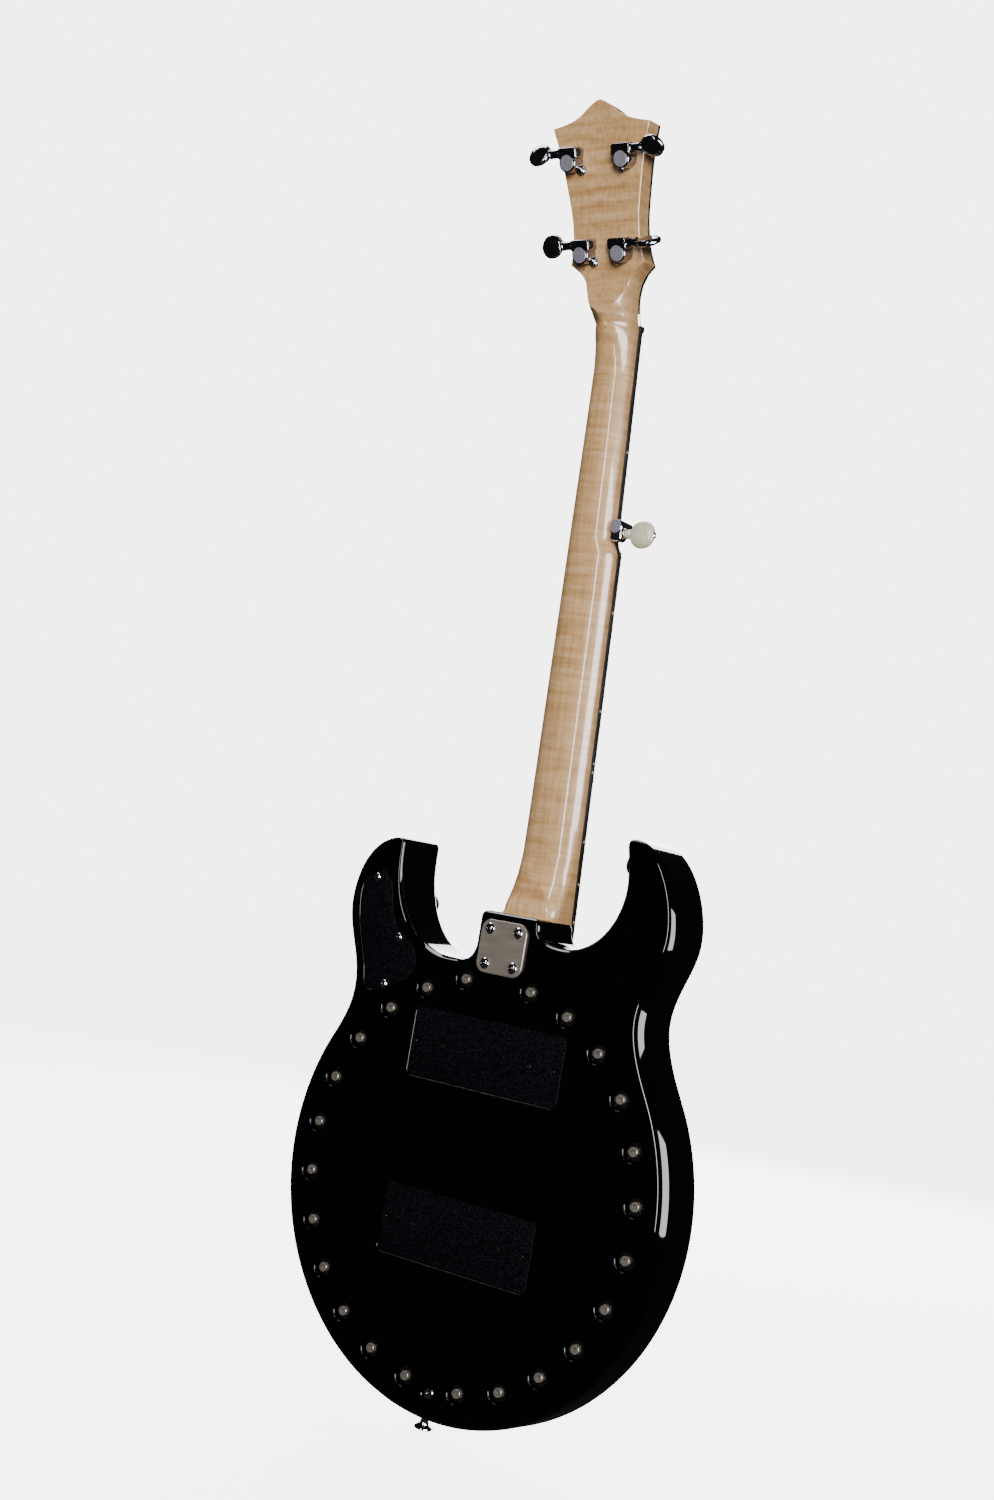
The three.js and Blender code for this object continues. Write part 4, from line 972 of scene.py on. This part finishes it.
def make_fingerboard():
    stations = [BOARD_END + (NUT_Z - BOARD_END) * k / 90 for k in range(91)]
    stations = sorted(stations + [BUMP[0], BUMP[1], 469, 472, 475])
    left = [(board_edges(z)[0], along_board(z)) for z in stations]
    right = [(board_edges(z)[1], along_board(z)) for z in stations]
    board = Shape().slab(right + left[::-1], 0, BOARD_T, 0.35, 2, place=BOARD)
    keep(board.build("ebony_board", "ebony"), "ebony_board", "fingerboard")

    wires = Shape()
    arch = [(0.05, -1.2), (-0.75, -0.85), (-1.05, 0), (-0.75, 0.85), (0.05, 1.2)]
    for n in range(1, FRETS + 1):
        z = along_board(NUT_Z) - fret_distance(n)
        low, high = board_edges(BOARD_Z + z * math.cos(NECK_TILT))
        rings = []
        for x, size in ((low + 0.25, 0.5), (low + 0.9, 1), (high - 0.9, 1), (high - 0.25, 0.5)):
            rings.append([(x, y * size, z + dz) for y, dz in arch])
        wires.rings(rings, place=BOARD)
    keep(wires.build("frets", "fret"), "steel")

    dots, marks = Shape(), Shape()
    for n in DOT_FRETS:
        z = along_board(NUT_Z) - (fret_distance(n) + fret_distance(n - 1)) / 2
        for x in ((-6.5, 6.5) if n == DOUBLE_DOT else (0,)):
            dots.turned([(3.2, 0.2), (3.2, -0.03), (3.0, -0.06)], BOARD @ at(x, 0, z), 32)
        if n == PEG_FRET:
            continue
        for shift in ((-3.2, 3.2) if n == DOUBLE_DOT else (0,)):
            level = z + shift
            edge = board_edges(BOARD_Z + level * math.cos(NECK_TILT))[0]
            place = BOARD @ at(edge, 2.3, level) @ FACING_LEFT
            marks.turned([(1.0, -0.4), (1.0, 0.03), (0.8, 0.1)], place, 24)
    keep(dots.build("front_dots", "dot"), "cream_pearl")
    keep(marks.build("side_dots", "dot"), "cream_pearl")

    start = along_board(NUT_Z) + 0.1
    outline = rounded_rect(0, start + 2.3, 32.6, 4.6, 0.5, 3)
    nut = Shape().slab(outline, -1.2, BOARD_T, 0.4, 3, place=BOARD)
    piece = nut.build("grooved_nut", "bone")
    grooves = Shape()
    for i in range(4):
        left, right = (STRING_SPACING * (1.5 - i) + side * 0.35 for side in (-1, 1))
        corners = ((left, start - 1), (right, start - 1), (right, start + 6), (left, start + 6))
        grooves.rings([[(x, y, z) for x, z in corners] for y in (-3, -0.75)], place=BOARD)
    keep(smooth(carve(piece, grooves)), "black_plastic", "nut")


def make_head_front():
    top = -HEAD_T - GAP
    outline = head_outline()
    low = [(-half, z) for z, half, *_ in reversed(HEAD_RINGS[1:])]
    sheet = outline + low[1:] + [(-x, z) for x, z in reversed(low[1:])]
    slab = Shape().slab(sheet, top - OVERLAY_T, top, 0.3, 2, place=HEAD @ SLANT)
    face = slab.build("headstock_face", "overlay")
    corners = ((-4, -3), (4, -3), (4, 15), (-4, 15))
    slot = Shape().rings([[(x, y, z) for x, z in corners] for y in (top - 6, top + 2)], place=HEAD)
    keep(smooth(carve(face, slot)), "black_overlay", "headstock_overlay")

    curves = (
        ((-9, 2.5), (-3, 2.5), (3, 2.5), (9, 2.5)),
        ((9, 2.5), (9, 12), (4, 14), (3, 27)),
        ((3, 27), (2, 29.5), (-2, 29.5), (-3, 27)),
        ((-3, 27), (-4, 14), (-9, 12), (-9, 2.5)),
    )
    bell = [p for curve in curves for p in bezier(*curve, 10)]
    y = top - OVERLAY_T - GAP
    cover = Shape().slab(bell, y - 1.6, y, 0.45, 3, place=HEAD)
    keep(cover.build("truss_cover", "black"), "black_plastic", "truss_rod_cover")
    for i, (x, z) in enumerate(((-6, 5.5), (6, 5.5), (0, 25))):
        spot = HEAD @ at(x, y - 1.5, z) @ Matrix.Rotation(math.pi, 4, "X")
        profile = [(1.3, -1), (1.4, 0.1), *dome(1.35, 0.4, 0.1, 4, 0.5)]
        screw = Shape().turned(profile, spot, 48, (cross(0.7, 0.22), 0.4))
        keep(screw.build(f"truss_cover_screw_{i + 1}", "chrome"), "chrome")


# ---------------------------------------------------------------------------------------------
# tuners


MIRROR = {1: Matrix(), -1: Matrix.Scale(-1, 4, (1, 0, 0))}

# the headstock buttons: (distance out, half height, half thickness) along each
KNOB_SPINE = (
    (17.4, 2.5, 2.4),
    (18.3, 4.4, 3.0),
    (20, 6.8, 3.3),
    (22.8, 8.4, 3.5),
    (26.4, 9, 3.5),
    (29.6, 8.4, 3.3),
    (32.2, 6.7, 2.8),
    (34.1, 4.4, 2.0),
    (35.1, 2.2, 1.1),
    (35.3, 0.7, 0.4),
)
KNOB_SIDES, KNOB_SQUARENESS = 40, 0.72


def head_housing(place, side, name, node):
    """Gear case with its cap, worm box, sleeve and screwed tab."""
    here = place @ MIRROR[side]
    case = Shape().turned([(7.0, GAP), (7.0, 10.6), (6.7, 11.0), (5.9, 11.1), (5.9, 11.0)], here, 56)
    case.slab(rounded_rect(-0.2, 6.6, 16.2, 8.6, 2.2), GAP, WORM_Y + 3.9, 1.1, 4, place=here)
    sleeve = here @ at(0, WORM_Y, WORM_UP) @ FACING_X
    profile = [(3.9, 7.4), (3.95, 8.4), (3.3, 8.8), (3.25, 15.2), (3.6, 15.5), (3.6, 16)]
    case.turned(profile, sleeve, 40)
    tab = here @ Matrix.Rotation(math.pi / 4, 4, "Y")
    case.slab(rounded_rect(0, -6.6, 7.2, 10.4, 3.5), GAP, 2.2, 0.5, 3, place=tab)
    piece = case.build(name, "dark_chrome")
    keep(piece, "tuner_chrome", node)
    cap = Shape().turned([(5.7, 10.4), (5.8, 11.2), (5.6, 11.5), (0.3, 11.55)], here, 56)
    keep(cap.build(name + "_cap", "cap"), "tuner_chrome")
    screw = tab @ at(0, 2.2, -8.9)
    profile = [(2.5, -0.2), (2.6, 0.4), *dome(2.5, 1.1, 0.6, 6, 0.45)]
    pan = Shape().turned(profile, screw, 72, (cross(1.2, 0.34), 0.9))
    keep(pan.build(name + "_screw", "chrome"), "tuner_chrome")
    end = here @ at(0, WORM_Y, WORM_UP) @ FACING_LEFT
    profile = [(3.0, 7.6), (3.0, 8.5), (2.6, 8.8), (1.0, 8.85)]
    disc = Shape().turned(profile, end, 40, (cross(0.9, 0.9), 0.5))
    keep(disc.build(name + "_end", "black_steel"), "tuner_chrome")


def head_button(place, side, turn, name, node, body):
    """A flattened round knob with a stepped collar, on its worm shaft."""
    here = place @ MIRROR[side] @ at(0, WORM_Y, WORM_UP) @ Matrix.Rotation(turn, 4, "X")
    profile = [(1.9, -8.2), (1.9, 15.8), (2.6, 16.1), (2.9, 16.6), (2.9, 17.4), (2.3, 17.9), (2.6, 18.6)]
    shaft = Shape().turned(profile, here @ FACING_X, 32)
    rings = []
    for x, high, thick in KNOB_SPINE:
        ring = []
        for k in range(KNOB_SIDES):
            t = 2 * math.pi * k / KNOB_SIDES
            bulge = math.copysign(thick * abs(math.sin(t)) ** KNOB_SQUARENESS, math.sin(t))
            ring.append((x, bulge, high * math.cos(t)))
        rings.append(ring)
    shaft.rings(rings, place=here)
    knob = shaft.build(name, "dark_chrome", angle=50)
    keep(knob, "tuner_chrome", node, body=body)


def head_post(place, number):
    """A string post with its waist, on its own body, and the fixed hexagonal bushing round it."""
    top = -HEAD_T - GAP - OVERLAY_T
    waist = [(3, top - 6), (2.45, top - 7.2), (2.45, top - 9.6), (3, top - 10.6)]
    tip = [(3, top - 12.5), (2.6, top - 13), (0.3, top - 13)]
    post = Shape().turned([(4.3, WORM_Y - 1.3), (3, WORM_Y - 1.6), *waist, *tip], place, 32)
    piece = post.build(f"tuner_shaft_{number}", "chrome")
    keep(piece, "tuner_chrome", f"tuner_post_{number}", body=f"post_{number}")
    nut = Shape()
    flats = [(5.2 * math.cos(k * math.pi / 3), 5.2 * math.sin(k * math.pi / 3)) for k in range(6)]
    nut.slab(flats, top - 3.2, top - 0.8, 0.3, 2, place=place)
    nut.turned([(6.2, top - 0.9), (6.2, top - 0.3), (5.9, top), (3.6, top)], place, 40)
    nut.turned([(4.2, top - 4.6), (4.2, top - 3)], place, 32)
    keep(nut.build(f"tuner_bushing_{number}", "chrome"), "tuner_chrome")


def make_tuners():
    for number, x, z, turn in HEAD_TUNERS:
        side = 1 if x > 0 else -1
        place = HEAD @ at(x, 0, z)
        head_housing(place, side, f"tuner_case_{number}", f"tuner_housing_{number}")
        names = (f"tuner_knob_{number}", f"tuner_button_{number}", f"button_{number}")
        head_button(place, side, turn, *names)
        head_post(place, number)


def make_fifth_tuner():
    x, z, wy, wz = FIFTH_X, FIFTH_Z, FIFTH_WORM_Y, FIFTH_WORM_Z
    profile = [(5.3, -32), (5.4, -31), (5.4, -17.2), (5.2, -16.4), (4.9, -16.1), (4.9, -16.3)]
    case = Shape().turned(profile, at(x, 0, z), 48)
    outline = rounded_rect(x - 0.5, (wz + z) / 2 - 1.6, 10, z - wz + 8.6, 3)
    case.slab(outline, wy - 4.4, -16.6, 1.3, 4)
    case.turned([(4.3, 5.5), (4.4, 6.3), (4.0, 7.2)], at(x, wy, wz) @ FACING_LEFT, 40)
    keep(case.build("fifth_case", "chrome"), "tuner_chrome", "tuner_housing_5")
    cap = Shape().turned([(4.8, -16.8), (4.9, -16), (4.6, -15.75), (0.3, -15.7)], at(x, 0, z), 48)
    keep(cap.build("fifth_cap", "cap"), "tuner_chrome")

    here = at(x, wy, wz) @ FACING_LEFT
    shaft = Shape().turned([(1.4, -2.6), (1.4, 13)], here, 32)
    profile = [(2.9, 7.4), (3.4, 7.8), (3.5, 10.2), (3.0, 11.3)]
    shaft.turned(profile, here, 40)
    rings = []
    for k in range(25):
        t = math.pi * (0.07 + 0.86 * k / 24)
        across, depth = math.sin(t) ** 0.9 * 10.3, math.sin(t) ** 0.8 * 4.3
        lean = x - 21.6 + 10.6 * math.cos(t)
        ring = []
        for j in range(48):
            a = 2 * math.pi * j / 48
            ring.append((lean, wy + depth * math.sin(a), wz + across * math.cos(a)))
        rings.append(ring)
    shaft.rings(rings)
    keep(shaft.build("fifth_knob", "pearl", angle=50), "cream_pearl", "tuner_button_5", body="button_5")
    profile = [(1.9, 31), (2.1, 32.4), *dome(2.1, 0.9, 32.4, 5, 0.4)]
    screw = Shape().turned(profile, here, 48, (cross(0.9, 0.28), 0.7))
    keep(screw.build("fifth_knob_screw", "chrome"), "tuner_chrome", body="button_5")
    waist = [(2.6, -38), (2.1, -39.5), (2.1, -41.5), (2.6, -43)]
    profile = [(2.9, wy + 1.3), (2.6, wy + 1.2), *waist, (0.3, -44)]
    post = Shape().turned(profile, at(x, 0, z), 32)
    keep(post.build("fifth_post", "chrome"), "tuner_chrome", "tuner_post_5", body="post_5")


# ---------------------------------------------------------------------------------------------
# strap buttons, jack, control knobs and hoop


STRAP_BUTTON = (
    (5, 0), (5.1, 0.4), (4.2, 1.6), (3.1, 3.4), (2.9, 6), (3.5, 8.4),
    (5.6, 9.9), (6.5, 10.8), (6.7, 11.6), (6.3, 12.4), (4.6, 12.9), (1.9, 13.0),
)
JACK_FLANGE = (
    (9.4, 0.3), (12.5, 0.4), (12.6, 1.2), (12, 1.9), (8.9, 2.1),
    (8.9, 1.8), (5.6, 1.8), (5.4, 2.15), (3.8, 2.15), (3.3, 1.7),
)
JACK_SIDES = 56

# the control knobs' (radius, height, depth of the knurls)
KNURLED_KNOB = (
    (8.8, 4.1, 0), (9.2, 4.5, 0), (9.15, 5.4, 0.28), (8.5, 13.3, 0.28), (8.3, 14.5, 0),
    (7.9, 15.5, 0), (7.1, 15.9, 0), (6.7, 15.6, 0), (0.4, 15.5, 0),
)


def make_strap_buttons():
    angle = math.asin(14.5 / RIM_R)
    reach = RIM_R + GAP
    outward = Matrix.Rotation(-angle, 4, "Y") @ Matrix.Rotation(-math.pi / 2, 4, "X")
    tail = at(reach * math.sin(angle), MID_Y, -reach * math.cos(angle)) @ outward
    horn = at(-92.5, MID_Y, 244.5) @ FACING_X
    for name, scale, place in (("tail", 0.88, tail), ("horn", 0.76, horn)):
        profile = [(r, h * scale) for r, h in STRAP_BUTTON]
        piece = Shape().turned(profile, place, 48, (cross(1.5, 0.4), 0.9))
        keep(piece.build(f"{name}_button", "chrome"), "chrome", f"strap_button_{name}")


def make_jack():
    """A hollow socket: the profile's last ring is joined back to its first."""
    profile = [(3.3, 148), (9.4, 148), *((r, RIM_R + h) for r, h in JACK_FLANGE)]
    jack = Shape().turned(profile, at(0, MID_Y, JACK_Z) @ FACING_X, JACK_SIDES)
    jack.faces = [f for f in jack.faces if len(f) == 4]
    last = (len(profile) - 1) * JACK_SIDES
    for j in range(JACK_SIDES):
        after = (j + 1) % JACK_SIDES
        jack.faces.append((j, after, last + after, last + j))
    keep(jack.build("jack_plate", "chrome"), "chrome", "output_jack")


def make_knobs():
    turns = [math.pi * k / 48 for k in range(96)]
    for name, (x, z) in (("volume", VOLUME), ("tone", TONE)):
        front = at(x, -BODY_T, z) @ Matrix.Rotation(math.pi, 4, "X")
        knob = Shape()
        rings = []
        for r, h, ridge in KNURLED_KNOB:
            radii = [r - ridge * (k % 2) for k in range(96)]
            rings.append([(q * math.cos(t), h, q * math.sin(t)) for q, t in zip(radii, turns)])
        knob.rings(rings, place=front)
        knob.slab([(-0.5, 2), (0.5, 2), (0.5, 6.4), (-0.5, 6.4)], 15.5, 15.85, 0.1, 1, place=front)
        piece = knob.build(f"{name}_control_knob", "black", angle=25)
        keep(piece, "black_plastic", f"{name}_knob", body=f"{name}_control")


HOOP = (
    (140.4, -53.4), (141.2, -54.3), (142.2, -54.5), (149, -54.5), (150.2, -54.1),
    (150.5, -53.2), (150.5, -45.9), (150.1, -45.4), (142.7, -45.3), (142.3, -45.7),
    (142.3, -48.1), (141.9, -48.4), (140.4, -48.4),
)


def make_hoop():
    """The ring over the drum head, notched at the bottom for the tailpiece."""
    angles = [2 * math.pi * k / 180 for k in range(181)]
    rings = [[(r * math.cos(t), y, r * math.sin(t)) for r, y in HOOP] for t in angles]
    hoop = Shape().rings(rings, caps=(False, False)).build("tension_ring", "bright_nickel")
    corners = ((-10, -155), (10, -155), (10, -147.4), (-10, -147.4))
    notch = Shape().rings([[(x, y, z) for x, z in corners] for y in (-60, -40)])
    keep(smooth(carve(hoop, notch)), "satin_nickel", "tension_hoop")


def restyle():
    """Materials for the CAD pieces whose own shape is shown."""
    looks = {
        "steel": ("truss_rod", "volume_pot", "tone_pot", "selector_switch", "fifth_string_nut"),
        "brass": ("tone_ring",),
        "film": ("drum_head",),
        "black": ("neck_pickup", "bridge_pickup"),
        "chrome": ("tailpiece", "selector_lever"),
        "wire": ("string_1", "string_2", "string_3", "string_5"),
        "wound": ("string_4",),
        "bridge": ("bridge",),
    }
    for look, nodes in looks.items():
        for node in nodes:
            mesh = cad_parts[node].data
            mesh.materials.clear()
            mesh.materials.append(LOOKS[look])


make_camera()
make_stage()
make_body()
make_screws()
make_covers()
make_neck()
make_fingerboard()
make_head_front()
make_tuners()
make_fifth_tuner()
make_strap_buttons()
make_jack()
make_knobs()
make_hoop()
restyle()
